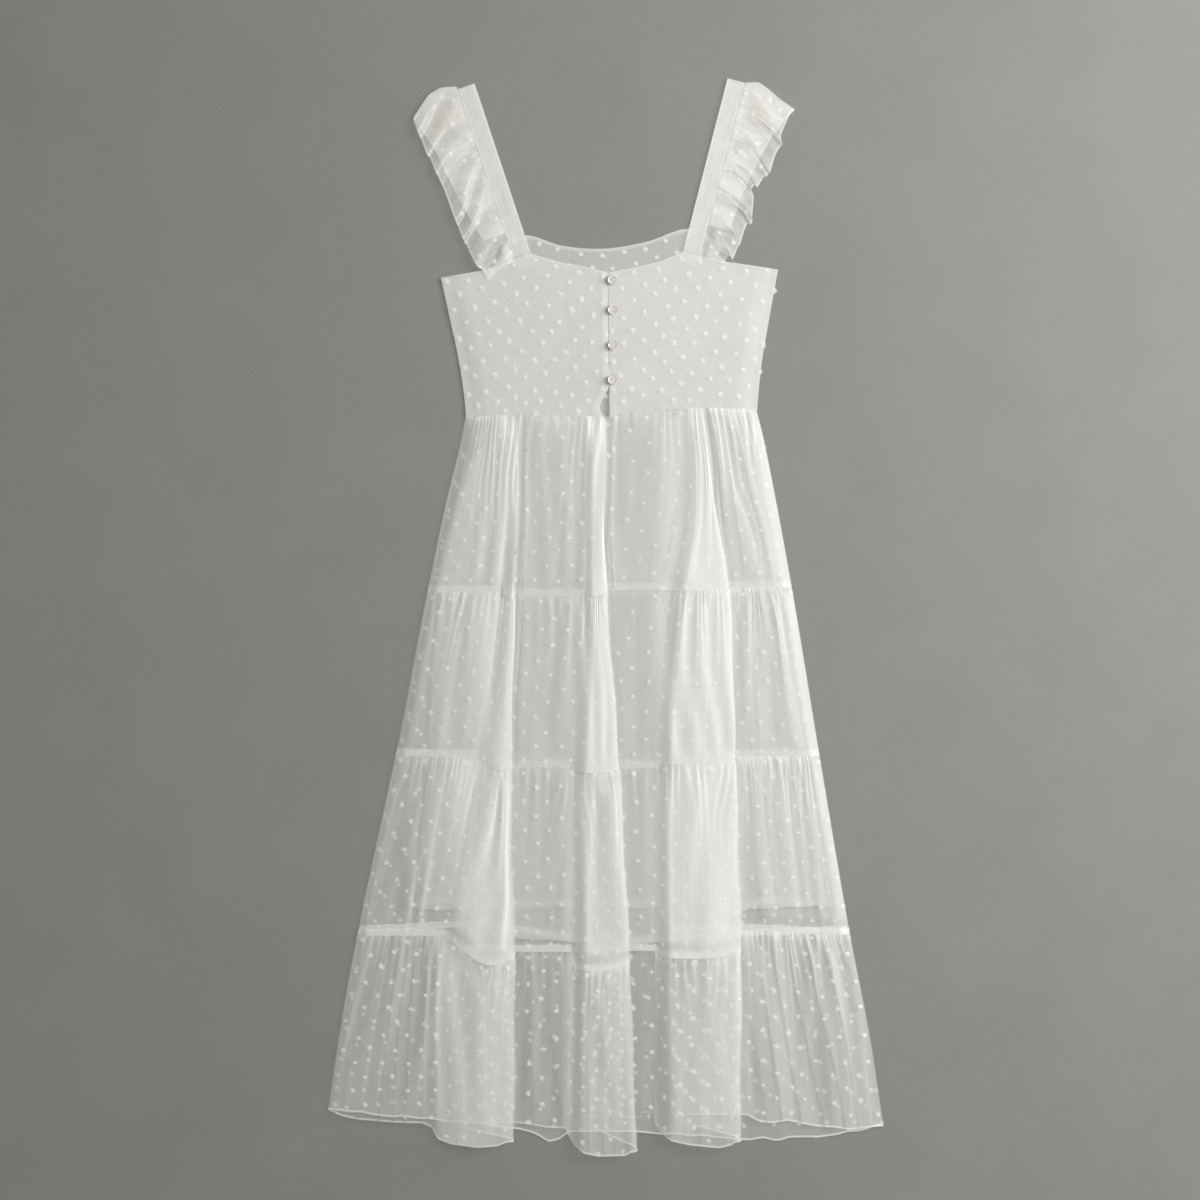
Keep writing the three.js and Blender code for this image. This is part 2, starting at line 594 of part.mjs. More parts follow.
function ruffle(side) {
  const { front, back } = RUFFLES[side];
  const frontLength = front[front.length - 1].s;
  const backLength = back[back.length - 1].s;
  const frontSteps = RUFFLE_WAVES_FRONT * STEPS_PER_GATHER;
  const backSteps = RUFFLE_WAVES_BACK * STEPS_PER_GATHER;
  const steps = foldedRun(frontLength, frontSteps, backLength, backSteps);
  const rows = steps.length - 1;
  const columns = RUFFLE_SHARES.length - 1;
  const mid = (r, c) => {
    const { run, turn } = steps[r];
    const onFront = run >= 0;
    const rowsHere = onFront ? front : back;
    const distance = Math.abs(run);
    const across = RUFFLE_SHARES[c];
    const width = readTable(rowsHere, 's', 'width', distance) - SEAM_GAP;
    const drop = readTable(rowsHere, 's', 'drop', distance) * across * across;
    const point = strapPoint(side, STRAP_WIDTH + SEAM_GAP + width * across, run, turn);
    point.x += STRAPS[side].dir[0] * drop;
    point.y += STRAPS[side].dir[1] * drop;
    const waves = onFront ? RUFFLE_WAVES_FRONT : RUFFLE_WAVES_BACK;
    const length = onFront ? frontLength : backLength;
    const wave = Math.sin(Math.PI * waves * distance / length) ** 2;
    const height = onFront ? RUFFLE_WAVE_HEIGHT * lerp(0.3, 1, across) : 1;
    const tip = onFront && c > 0 ? RUFFLE_TIP_LIFT * smooth((distance - 170) / 25) : 0;
    point.z += wave * height + tip;
    return point;
  };
  const out = acrossSurface(mid, rows, columns);
  addPiece(`ruffle_${side}`, clothWall(rows, columns, WALL, mid, out), 'voile');
}

// Buttons and loops -----------------------------------------------------------------------

const wasm = await Module();
wasm.setup();

function toManifold(geometry) {
  const bare = geometry.clone();
  bare.deleteAttribute('normal');
  bare.deleteAttribute('uv');
  const merged = mergeVertices(bare, 1e-5);
  return new wasm.Manifold(new wasm.Mesh({
    numProp: 3,
    vertProperties: new Float32Array(merged.attributes.position.array),
    triVerts: new Uint32Array(merged.index.array),
  }));
}

function fromManifold(solid) {
  const { vertProperties, triVerts } = solid.getMesh();
  const geometry = new THREE.BufferGeometry();
  geometry.setAttribute('position', new THREE.BufferAttribute(vertProperties, 3));
  geometry.setIndex(new THREE.BufferAttribute(triVerts, 1));
  geometry.computeVertexNormals();
  return geometry;
}

const frontTop = (x, y) => bodiceLift(sideX('left', y) - x, y) + DOUBLE_WALL;

// A four-hole button with a raised rim, standing on its thread stalk.
function button(number, { x, y }) {
  const under = BUTTON_RISE - REST_CLEARANCE;
  const face = under + BUTTON_THICKNESS;
  const profile = [
    [0, 0], [STALK_RADIUS, 0], [STALK_RADIUS, under], [BUTTON_RADIUS - 0.7, under],
    [BUTTON_RADIUS, under + 0.8], [BUTTON_RADIUS - 0.4, face], [BUTTON_RADIUS - 1.6, face - 0.5],
    [0, face - 0.6],
  ].map(([radius, height]) => new THREE.Vector2(radius, height));
  let solid = toManifold(new THREE.LatheGeometry(profile, 16).rotateX(Math.PI / 2));
  for (const [dx, dy] of [[1, 1], [-1, 1], [-1, -1], [1, -1]]) {
    const hole = new THREE.CylinderGeometry(BUTTON_HOLE_RADIUS, BUTTON_HOLE_RADIUS, 1.2, 6);
    hole.rotateX(Math.PI / 2).translate(dx * BUTTON_HOLE_OFFSET, dy * BUTTON_HOLE_OFFSET, face - 0.4);
    solid = solid.subtract(toManifold(hole));
  }
  const geometry = fromManifold(solid).translate(x, y, frontTop(x, y) + REST_CLEARANCE);
  addPiece(`button_${number}`, geometry, 'shell');
}

// A thread loop: two legs sewn to the right panel's edge and a bend round the button's stalk.
function buttonLoop(number, { x, y }) {
  const height = frontTop(x, y) + REST_CLEARANCE + LOOP_CORD;
  const route = [new THREE.Vector3(x - LOOP_REACH, y - LOOP_RADIUS, height)];
  for (let i = 0; i <= 6; i += 1) {
    const angle = -Math.PI / 2 + Math.PI * i / 6;
    const dx = LOOP_RADIUS * Math.cos(angle);
    const dy = LOOP_RADIUS * Math.sin(angle);
    route.push(new THREE.Vector3(x + dx, y + dy, height));
  }
  route.push(new THREE.Vector3(x - LOOP_REACH, y + LOOP_RADIUS, height));
  const section = new THREE.Shape(
    new THREE.Path().absarc(0, 0, LOOP_CORD, 0, 2 * Math.PI).getPoints(3).slice(0, -1),
  );
  const extrudePath = new THREE.CatmullRomCurve3(route);
  const geometry = new THREE.ExtrudeGeometry(section, { steps: 14, bevelEnabled: false, extrudePath });
  addPiece(`button_loop_${number}`, geometry, 'cord');
}

for (const tier of [1, 2, 3, 4]) {
  frontTier(tier);
  backTier(tier);
}
liningPanel('back', 0);
liningPanel('front', 1);
frontPanel('bodice_front_right', 'right', FRONT_TOP_RIGHT, [2, 2, 1, 1, 1, 2, 2, 1]);
frontPanel('bodice_front_left', 'left', FRONT_TOP_LEFT, [2, 2, 2, 1, 1, 1, 2, 2]);
backPanel();
for (const side of ['right', 'left']) {
  strap(side);
  ruffle(side);
}
BUTTONS.forEach((place, i) => {
  button(i + 1, place);
  buttonLoop(i + 1, place);
});

export default dress;
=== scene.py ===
# %% [markdown]
# # A sleeveless tiered midi dress, laid flat
#
# The dress is white voile with small woven tufts. It lies on its back, so what we see is its
# front: two straps with gathered ruffles, a lined bodice that buttons at the centre, and four
# tiers of skirt over a short lining. The packed part gives the frame. Every new piece is
# modelled in that same frame. The tables are in millimetres, and the meshes in metres.

import math

import bmesh
import bpy
import numpy as np
from mathutils import Matrix, Vector


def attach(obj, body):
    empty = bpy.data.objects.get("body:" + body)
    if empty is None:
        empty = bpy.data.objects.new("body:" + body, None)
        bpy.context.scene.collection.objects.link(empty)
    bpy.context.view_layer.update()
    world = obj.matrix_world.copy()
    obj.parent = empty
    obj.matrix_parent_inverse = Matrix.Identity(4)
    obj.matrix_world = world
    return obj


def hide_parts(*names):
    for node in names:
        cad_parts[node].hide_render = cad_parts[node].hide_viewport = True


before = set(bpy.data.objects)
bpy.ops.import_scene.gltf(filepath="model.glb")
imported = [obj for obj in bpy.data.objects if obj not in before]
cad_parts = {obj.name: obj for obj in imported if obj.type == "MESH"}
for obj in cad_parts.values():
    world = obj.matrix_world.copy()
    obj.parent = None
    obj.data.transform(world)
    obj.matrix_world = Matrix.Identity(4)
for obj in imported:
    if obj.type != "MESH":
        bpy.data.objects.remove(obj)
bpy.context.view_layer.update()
MM = 0.001
print("nodes in the frame:", len(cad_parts))

# %% [markdown]
# ## Camera, floor and light
#
# A flat garment is shown best from straight above, because then no part of it is foreshortened.
# The camera looks down its own -Z axis, so with no rotation it already looks at the floor. One
# large soft light stands to the right, low enough to draw the folds, and a weaker one fills
# the other side. The light of the room is warmer than the lamp, so the cloth turns cream where
# the lamp reaches it least.

# %% Camera straight above
VIEW_WIDTH = 1.416
VIEW_CENTRE = (-5.3 * MM, 20.7 * MM)
CAMERA_HEIGHT = 3.2
SENSOR = 36.0
camera_data = bpy.data.cameras.new("camera")
camera_data.sensor_width = SENSOR
camera_data.lens = SENSOR * CAMERA_HEIGHT / VIEW_WIDTH
camera = bpy.data.objects.new("camera", camera_data)
camera.location = (*VIEW_CENTRE, CAMERA_HEIGHT)
bpy.context.collection.objects.link(camera)
bpy.context.scene.camera = camera
print(f"lens {camera_data.lens:.1f} mm")

# %% Short calls for the nodes of a finish
class Finish:
    """A material, with a short call for each kind of node that the finishes here use."""

    def __init__(self, name, roughness, sheen=0.0):
        self.material = bpy.data.materials.new(name)
        self.material.use_nodes = True
        self.tree = self.material.node_tree
        self.shader = self.tree.nodes["Principled BSDF"]
        self.fill(self.shader, {"Roughness": roughness, "Sheen Weight": sheen})

    def fill(self, node, inputs):
        """Sets the inputs of a node, or links those whose value is another node's output."""
        for name, value in inputs.items():
            if isinstance(value, bpy.types.NodeSocket):
                self.tree.links.new(value, node.inputs[name])
            else:
                node.inputs[name].default_value = value

    def node(self, kind, inputs=(), output=0, **settings):
        node = self.tree.nodes.new(kind)
        for name, value in settings.items():
            setattr(node, name, value)
        self.fill(node, dict(inputs))
        return node.outputs[output]

    def calculate(self, operation, first, second):
        return self.node("ShaderNodeMath", {0: first, 1: second}, operation=operation)

    def times(self, first, second):
        return self.calculate("MULTIPLY", first, second)

    def plus(self, first, second):
        return self.calculate("ADD", first, second)

    def minus(self, first, second):
        return self.calculate("SUBTRACT", first, second)

    def place(self):
        return self.node("ShaderNodeTexCoord", output="Object")

    def flat_cloth(self):
        """Places on the flat cloth, in metres, so that a pattern follows each sheet's folds."""
        return self.node("ShaderNodeUVMap", uv_map="cloth")

    def painted(self, attribute):
        return self.node("ShaderNodeAttribute", output="Fac", attribute_name=attribute)

    def noise(self, where, scale, stretch=(1, 1, 1), detail=2.0):
        where = self.node("ShaderNodeMapping", {"Vector": where, "Scale": stretch})
        return self.node("ShaderNodeTexNoise", {"Vector": where, "Scale": scale, "Detail": detail})

    def between(self, share, low, high):
        low, high = ((*colour, 1) if isinstance(colour, tuple) else colour for colour in (low, high))
        return self.node("ShaderNodeMix", {0: share, 6: low, 7: high}, 2, data_type="RGBA")

    def colour(self, value):
        self.fill(self.shader, {"Base Color": value})

    def relief(self, height, strength, distance):
        inputs = {"Strength": strength, "Distance": distance, "Height": height}
        self.fill(self.shader, {"Normal": self.node("ShaderNodeBump", inputs)})

    def cover(self, alpha, passed):
        """Sets how much a layer hides. Threads scatter on much of the light they catch, so a
        layer's shadow is fainter than the layer, and a shadow ray meets less cloth."""
        shadow = self.node("ShaderNodeLightPath", output="Is Shadow Ray")
        kept = self.minus(1.0, self.times(shadow, passed))
        self.fill(self.shader, {"Alpha": self.times(alpha, kept)})

    def sheer(self, clear_per_face, uneven, passed):
        """Cloth that hides more where its threads are crowded."""
        threads = self.times(self.painted("crowd"), uneven)
        self.cover(self.minus(1.0, self.calculate("POWER", clear_per_face, threads)), passed)


print("calls for a finish:", sum(callable(call) for call in vars(Finish).values()))

# %% Floor
floor_finish = Finish("pale_floor", 0.9)
where = floor_finish.place()
mottle = floor_finish.noise(where, 9, detail=4)
floor_finish.colour(floor_finish.between(mottle, (0.284, 0.283, 0.276), (0.324, 0.323, 0.315)))
floor_finish.relief(floor_finish.noise(where, 700), 0.25, 0.0006)

FLOOR_SIZE = 60.0
FLOOR_Z = -0.0004
mesh = bpy.data.meshes.new("floor")
bm = bmesh.new()
bmesh.ops.create_grid(bm, x_segments=2, y_segments=2, size=FLOOR_SIZE / 2)
bmesh.ops.translate(bm, vec=(0, 0, FLOOR_Z), verts=bm.verts)
bm.to_mesh(mesh)
bm.free()
floor = bpy.data.objects.new("floor", mesh)
bpy.context.collection.objects.link(floor)
mesh.materials.append(floor_finish.material)
print(f"floor {FLOOR_SIZE:.0f} m wide")

# %% Soft light
def soft_light(name, place, target, size, watts, colour):
    data = bpy.data.lights.new(name, "AREA")
    data.shape = "RECTANGLE"
    data.size, data.size_y = size
    data.energy = watts
    data.color = colour
    light = bpy.data.objects.new(name, data)
    light.location = place
    aim = Vector(target) - Vector(place)
    light.rotation_euler = aim.to_track_quat("-Z", "Y").to_euler()
    bpy.context.collection.objects.link(light)


WORLD_STRENGTH = 0.28
SEE_THROUGH_FACES = 64
soft_light("key", (2.1, 0.8, 1.7), (0.1, 0.0, 0), (1.3, 1.8), 73, (0.995, 0.99, 1.01))
soft_light("fill", (-2.2, -0.4, 2.4), (0, 0, 0), (2.0, 2.5), 5, (0.99, 0.99, 0.84))
world = bpy.data.worlds.new("studio")
world.use_nodes = True
world.node_tree.nodes["Background"].inputs[0].default_value = (0.985, 0.99, 0.835, 1)
world.node_tree.nodes["Background"].inputs[1].default_value = WORLD_STRENGTH
bpy.context.scene.world = world
bpy.context.scene.view_settings.view_transform = "Standard"
bpy.context.scene.cycles.transparent_max_bounces = SEE_THROUGH_FACES
print("lights:", len(bpy.data.lights))

# %% [markdown]
# ## Cloth finishes
#
# Voile is so thin that the floor shows through one layer, and every layer more makes it
# whiter. The shader can't count layers, but the render does: each face lets a fixed share of
# the light through, and the shares multiply. A `crowd` attribute says how crowded the
# threads are at each point. It is high where the cloth is gathered, at hems and in seams.

# %% Sheer voile
CLEAR_PER_FACE = 0.878
VOILE_PASSES = 0.62


def voile_finish():
    voile = Finish("voile", 0.82, 0.12)
    cloth = voile.flat_cloth()
    streaks = voile.noise(cloth, 1.0, (420, 9, 1), 1)
    crepe = voile.noise(cloth, 1000, detail=0)
    clouds = voile.noise(cloth, 16, detail=1)
    uneven = voile.plus(voile.times(streaks, 0.45), 0.68)
    uneven = voile.plus(uneven, voile.times(crepe, 0.2))
    voile.sheer(CLEAR_PER_FACE, uneven, VOILE_PASSES)
    white = voile.between(clouds, (0.96, 0.965, 0.965), (0.99, 0.985, 0.975))
    voile.colour(voile.between(voile.painted("warm"), white, (0.93, 0.80, 0.72)))
    voile.relief(crepe, 0.3, 0.0004)
    return voile.material


VOILE = voile_finish()
print("one face of voile hides", round(1 - CLEAR_PER_FACE, 3))

# %% Close lining cloth
LINING_CLEAR_PER_FACE = 0.73
LINING_PASSES = 0.5


def lining_finish():
    lining = Finish("lining_cloth", 0.7, 0.08)
    cloth = lining.flat_cloth()
    weave = lining.noise(cloth, 1400, detail=0)
    soft_marks = lining.noise(cloth, 22, detail=1)
    lining.sheer(LINING_CLEAR_PER_FACE, lining.plus(0.8, lining.times(weave, 0.4)), LINING_PASSES)
    lining.colour(lining.between(soft_marks, (0.77, 0.77, 0.765), (0.83, 0.828, 0.825)))
    lining.relief(weave, 0.25, 0.0003)
    return lining.material


LINING = lining_finish()
print("one face of lining hides", round(1 - LINING_CLEAR_PER_FACE, 3))

# %% [markdown]
# ## Tufts, thread and shell
#
# A tuft is loose yarn, so it fades out at its rim: its `core` attribute is high in the middle
# of the ball and low round it. Sewing thread has a fine twist. The buttons are shell, whose
# bands of pearl are a fine noise between two pale colours under a clear polish.

# %% Tuft, thread and shell finishes
def tuft_finish():
    yarn = Finish("tuft_yarn", 0.9, 0.3)
    fuzz = yarn.noise(yarn.place(), 800, detail=1)
    yarn.colour(yarn.between(fuzz, (0.92, 0.92, 0.915), (0.99, 0.99, 0.985)))
    rounded = yarn.calculate("MINIMUM", 1.0, yarn.times(yarn.painted("core"), 1.8))
    solid = yarn.times(yarn.times(rounded, yarn.painted("crowd")), yarn.times(fuzz, 1.7))
    solid = yarn.calculate("MAXIMUM", 0.0, yarn.calculate("MINIMUM", 0.95, solid))
    yarn.cover(solid, VOILE_PASSES)
    yarn.relief(fuzz, 0.6, 0.0008)
    return yarn.material


def thread_finish():
    thread = Finish("sewing_thread", 0.7, 0.1)
    twist = thread.noise(thread.place(), 2200)
    thread.colour(thread.between(twist, (0.86, 0.86, 0.85), (0.97, 0.97, 0.96)))
    thread.relief(twist, 0.5, 0.0003)
    return thread.material


def shell_finish():
    shell = Finish("shell_button", 0.22)
    where = shell.place()
    bands = shell.times(shell.minus(shell.noise(where, 420), 0.36), 3.4)
    pearl = shell.between(bands, (0.62, 0.61, 0.56), (1.0, 1.0, 0.99))
    blush = shell.times(shell.noise(where, 150, detail=1), 0.45)
    shell.colour(shell.between(blush, pearl, (0.95, 0.80, 0.68)))
    shell.fill(shell.shader, {"Coat Weight": 0.8, "Coat Roughness": 0.12})
    return shell.material


TUFT, THREAD, SHELL = tuft_finish(), thread_finish(), shell_finish()
print("finishes:", len(bpy.data.materials))

# %% [markdown]
# ## The shape of the skirt front
#
# The skirt front isn't a plain sheet. Three big folds lap over it: each rises softly on one
# side, runs flat along its crest, turns under at a sharp edge, and runs back beneath itself.
# We could simulate that, but a simulation won't put three folds where a hand laid them. So
# short tables say where each fold lies at a few heights, and a smooth curve runs through them.

# %% Tables of the skirt
SKIRT_SIDES = {
    "y": [246, 209, 139, 29, -165, -371, -499, -600],
    "right": [-162, -169, -186, -209, -247, -291, -314, -329],
    "left": [179, 188, 202, 222, 254, 289, 314, 329],
}
FOLDS = {
    "foldRight": {
        "y": [239, 27, -178, -392, -622],
        "soft": [-117, -123, -153, -194, -200],
        "edge": [-96, -103, -109, -105, -106],
        "height": [2, 5, 8, 9, 10],
        "overlap": [0, 10, 28, 62, 66],
    },
    "foldMiddle": {
        "y": [239, 44, -158, -380, -630],
        "soft": [-25, -25, -39, -40, -45],
        "edge": [3, 3, 17, 29, 38],
        "height": [2, 5, 8, 9, 10],
        "overlap": [0, 14, 36, 48, 60],
    },
    "foldLeft": {
        "y": [246, 139, 20, -158, -382, -622],
        "soft": [100, 96, 74, 61, 59, 59],
        "edge": [118, 131, 148, 154, 161, 160],
        "height": [2, 4.5, 6.5, 8, 9, 10],
        "overlap": [0, 10, 42, 66, 74, 74],
    },
}
LEVELS = [
    "cornerRight", "right", "foldRight", "dipRight", "foldMiddle", "dipLeft", "foldLeft", "left",
    "cornerLeft",
]
FRONT_SEAMS = {
    1: dict(zip(LEVELS, [31, 30, 24, 26, 28, 33, 34, 35, 36]), sag=2),
    2: dict(zip(LEVELS, [-161, -163, -177, -176, -179, -177, -169, -163, -163]), sag=3),
    3: dict(zip(LEVELS, [-373, -374, -402, -393, -409, -392, -394, -368, -373]), sag=6),
}
HEM_LINE = {
    "x": [-329, -312, -295, -250, -214, -203, -197, -180, -150, -125, -112, -106, -99, -75, -46,
          -43, -36, -24, -8, 22, 32, 38, 45, 58, 60, 66, 78, 100, 135, 150, 160, 167, 184, 200,
          216, 249, 270, 289, 320, 329],
    "y": [-581, -587, -590, -594, -595, -600, -613, -620, -624, -622, -617, -608, -596, -600, -602,
          -609, -620, -629, -633, -633, -627, -614, -583, -584, -596, -606, -615, -620, -623.5,
          -620, -608, -586, -595, -596, -593, -600, -601, -604, -600, -599],
}
BACK_HEM = {
    "x": [-329, -250, -150, -100, -78, -66, -54, -40, 0, 45, 60, 100, 160, 200, 240, 270, 300, 329],
    "y": [-580, -589, -598, -603, -612, -619, -617, -606, -606, -608, -609, -612, -615, -616, -614,
          -610, -606, -599],
}
BACK_SEAMS = {1: [31, 28, 27, 30, 36], 2: [-161, -165, -172, -167, -163], 3: [-371, -366, -384, -376, -371]}
LINING_SIDES = {
    "y": [246, 68, -74, -156, -215, -335],
    "right": [14, 14, 26, 38, 44, 60],
    "left": [14, 14, 14, 14, 14, 14],
}
LINING_HEMS = {
    "back": [-341, -343, -342, -341, -340],
    "front": [-339, -343, -377, -381, -388, -381, -377, -345, -340, -338],
}
WAIST = {"x": [-163, -128, 0, 60, 120, 180], "y": [234, 238, 238, 245, 247, 245]}
WAIST_Y = 238
WAIST_RIGHT, WAIST_LEFT = -163.4, 180
HEM_HALF_WIDTH = 329


def smooth(t):
    t = np.clip(t, 0, 1)
    return t * t * (3 - 2 * t)


def between(a, b, t):
    return a + (b - a) * t


def read_table(table, key, column, value):
    """A smooth curve through one column of a table, read at values of its key column."""
    keys, heights = np.array(table[key], float), np.array(table[column], float)
    if keys[0] > keys[-1]:
        keys, heights = keys[::-1], heights[::-1]
    slopes = np.diff(heights) / np.diff(keys)
    tangents = np.concatenate([slopes[:1], (slopes[:-1] + slopes[1:]) / 2, slopes[-1:]])
    at = np.clip(value, keys[0], keys[-1])
    i = np.clip(np.searchsorted(keys, at, side="right") - 1, 0, len(keys) - 2)
    span, rise = keys[i + 1] - keys[i], heights[i + 1] - heights[i]
    t = (at - keys[i]) / span
    bend = (tangents[i] * span - rise) * (1 - t) - (tangents[i + 1] * span - rise) * t
    return heights[i] + rise * t + t * (1 - t) * bend


def read_levels(levels, share):
    table = {"share": np.linspace(0, 1, len(levels)), "level": levels}
    return read_table(table, "share", "level", share)


def waist_at(x):
    return read_table(WAIST, "x", "y", x)


def skirt_side(side, y):
    return read_table(SKIRT_SIDES, "y", side, y)


print("waist at the centre:", float(waist_at(0.0)), "mm")

# %% Where one fold lies
FOLD_FORMS = {
    "foldRight": {"rise": 60, "riseShare": 0.75, "fall": 0.55, "underlay": 1.1},
    "foldMiddle": {"rise": 20, "riseShare": 0.45, "fall": 0.78, "underlay": 1.15},
    "foldLeft": {"rise": 20, "riseShare": 0.45, "fall": 0.78, "underlay": 1.15},
}
LOW_FOLD, SLOPING_FOLD, LAPPING_FOLD = 2, 3, 5
BEND_REACH, SLOPE_REACH, UNDER_END = 8, 4, 7
EDGE_WAVER, WAVER_LENGTH = 0.8, 23


def fold_at(name, y):
    """The sizes of one fold at heights y. A fold up to 3 mm high only slopes down, and one
    from 5 mm up laps over the dip beside it."""
    form = FOLD_FORMS[name]
    soft, edge, height, overlap = (
        read_table(FOLDS[name], "y", column, y) for column in ("soft", "edge", "height", "overlap")
    )
    overlap = np.maximum(overlap, 0) * form["underlay"]
    rise = np.minimum(form["rise"], form["riseShare"] * (edge - soft))
    height = LOW_FOLD + (height - LOW_FOLD) * form["fall"]
    edge = edge + EDGE_WAVER * np.sin(y / WAVER_LENGTH + soft[:1, :1])
    tall = smooth((height - SLOPING_FOLD) / (LAPPING_FOLD - SLOPING_FOLD))
    return {
        "soft": soft, "edge": edge, "height": height, "overlap": overlap, "tall": tall,
        "reach": np.minimum(BEND_REACH, overlap * 0.45), "crest": soft + rise,
    }


TURN_SHARE = 0.3


def tuck_point(fold, s):
    """The sharp side of a fold: over its edge, back beneath it, and round to the dip."""
    reach, back = fold["reach"], fold["edge"] - fold["overlap"]
    turn = np.clip(s / TURN_SHARE, 0, 1)
    run = np.clip((s - TURN_SHARE) / (1 - 2 * TURN_SHARE), 0, 1)
    last = np.clip((s - 1 + TURN_SHARE) / TURN_SHARE, 0, 1)
    first_angle, last_angle = math.pi * (0.5 - turn), math.pi * (0.5 - last)
    x = np.where(
        s <= TURN_SHARE, fold["edge"] - reach * (1 - np.cos(first_angle)),
        np.where(s < 1 - TURN_SHARE, between(fold["edge"] - reach, back + reach, run),
                 back + reach * (1 - np.cos(last_angle))))
    lift = np.where(
        s <= TURN_SHARE, 0.8 + 0.2 * np.sin(first_angle),
        np.where(s < 1 - TURN_SHARE, between(0.6, 0.4, run), 0.2 + 0.2 * np.sin(last_angle)))
    under = 0.05 + 0.95 * smooth((x - fold["soft"] + 2) / 24)
    x = between(fold["edge"] + SLOPE_REACH * (2 * s - 1), x, fold["tall"])
    return x, fold["height"] * between(1 - smooth(s), lift * under, fold["tall"])


print("folds:", ", ".join(FOLDS))

# %% Stretches of one front tier
def pleat(fold, before, after, columns):
    levels = {"rise": (before, fold), "crest": (fold, fold), "tuck": (fold, after), "under": (after, after)}
    return [
        {"kind": kind, "from": start, "to": end, "fold": fold, "columns": count}
        for (kind, (start, end)), count in zip(levels.items(), columns)
    ]


STRETCHES = [
    {"kind": "rollIn", "from": "cornerRight", "to": "right", "columns": 6},
    {"kind": "flat", "from": "right", "to": "right", "columns": 66},
    *pleat("foldRight", "right", "dipRight", (16, 38, 30, 12)),
    {"kind": "flat", "from": "dipRight", "to": "dipRight", "columns": 30},
    *pleat("foldMiddle", "dipRight", "dipLeft", (16, 30, 28, 12)),
    {"kind": "flat", "from": "dipLeft", "to": "dipLeft", "columns": 44},
    *pleat("foldLeft", "dipLeft", "left", (16, 40, 30, 12)),
    {"kind": "flat", "from": "left", "to": "cornerLeft", "columns": 80},
    {"kind": "rollOut", "from": "cornerLeft", "to": "cornerLeft", "columns": 6},
]
SIDE_ROLL = 12


def stretch_line(index, s, y):
    """x and lift, in millimetres, of a share s of one stretch at height y."""
    stretch = STRETCHES[index]
    kind, right, left = stretch["kind"], skirt_side("right", y), skirt_side("left", y)
    if kind == "rollIn":
        return right + SIDE_ROLL * s, 0 * y
    if kind == "rollOut":
        return left - SIDE_ROLL * (1 - s), 0 * y
    if kind == "flat":
        before, after = STRETCHES[index - 1], STRETCHES[index + 1]
        start, end = right + SIDE_ROLL, left - SIDE_ROLL
        if before["kind"] == "under":
            start = fold_at(before["fold"], y)["edge"] + UNDER_END
        if after["kind"] == "rise":
            end = fold_at(after["fold"], y)["soft"]
        return between(start, end, s), 0 * y
    fold = fold_at(stretch["fold"], y)
    if kind == "rise":
        return between(fold["soft"], fold["crest"], s), fold["height"] * smooth(s)
    if kind == "crest":
        return between(fold["crest"], tuck_point(fold, 0 * y)[0], s), fold["height"]
    if kind == "tuck":
        return tuck_point(fold, s + 0 * y)
    return between(tuck_point(fold, 0 * y + 1)[0], fold["edge"] + UNDER_END, s), 0 * y


stations = [
    (index, i / stretch["columns"])
    for index, stretch in enumerate(STRETCHES)
    for i in range(0 if index == 0 else 1, stretch["columns"] + 1)
]
STATION_STRETCH = np.array([index for index, _ in stations])
STATION_SHARE = np.array([share for _, share in stations])
KIND = np.array([STRETCHES[index]["kind"] for index in STATION_STRETCH])
RIGHT_FLAT, RIGHT_RISE, RIGHT_CREST = (STATION_STRETCH == index for index in (1, 2, 3))
ON_FLAT = np.where(KIND == "flat", smooth(5 * np.minimum(STATION_SHARE, 1 - STATION_SHARE)), 0)
ON_SOFT_SIDE = np.where(RIGHT_RISE, smooth(4 * np.minimum(STATION_SHARE, 1.2 - STATION_SHARE)), 0)


def each_stretch():
    """Every stretch, with its number, and with the mask and the shares of its stations."""
    for index, stretch in enumerate(STRETCHES):
        mine = STATION_STRETCH == index
        yield index, stretch, mine, STATION_SHARE[mine]


print("columns across a front tier:", len(stations) - 1)

# %% Lines across the skirt front
def across_front(y):
    """x and lift of every station, where y has one row of heights for each row of cloth."""
    x, lift = np.zeros_like(y), np.zeros_like(y)
    for index, _, mine, share in each_stretch():
        x[:, mine], lift[:, mine] = stretch_line(index, share, y[:, mine])
    return x, lift


def front_line(y):
    return across_front(np.full((1, len(stations)), float(y)))[0][0]


RISE_SHARE = 0.35


def seam_line(number, x_at_waist):
    """Height of a front seam at every station. Seam 0 is the waist. It sags on each fold."""
    if number == 0:
        return waist_at(x_at_waist)
    seam, levels = FRONT_SEAMS[number], np.zeros(len(stations))
    for _, stretch, mine, s in each_stretch():
        kind = stretch["kind"]
        early = kind == "rise" and stretch["fold"] != "foldRight"
        blend = smooth(np.minimum(1, 2 * s) if early else s)
        level = between(seam[stretch["from"]], seam[stretch["to"]], blend)
        if kind in ("rise", "crest"):
            across = RISE_SHARE * s if kind == "rise" else between(RISE_SHARE, 1, s)
            level = level - seam["sag"] * (1 - (2 * across - 1) ** 4)
        levels[mine] = level
    return levels


def hem_line():
    """Height of the hem at every station: read by place where it shows, and blended from the
    fold's edge to the next dip where it is tucked under."""
    y = np.interp(front_line(-605), HEM_LINE["x"], HEM_LINE["y"])
    for index, stretch, tuck, share in each_stretch():
        if stretch["kind"] == "tuck":
            crest, under = STATION_STRETCH == index - 1, STATION_STRETCH == index + 1
            edge, dip = y[crest][-1], y[under][-1]
            y[tuck], y[under] = between(edge, dip, smooth(share)), dip
    return y


print(f"hem from {hem_line().min():.0f} to {hem_line().max():.0f} mm")

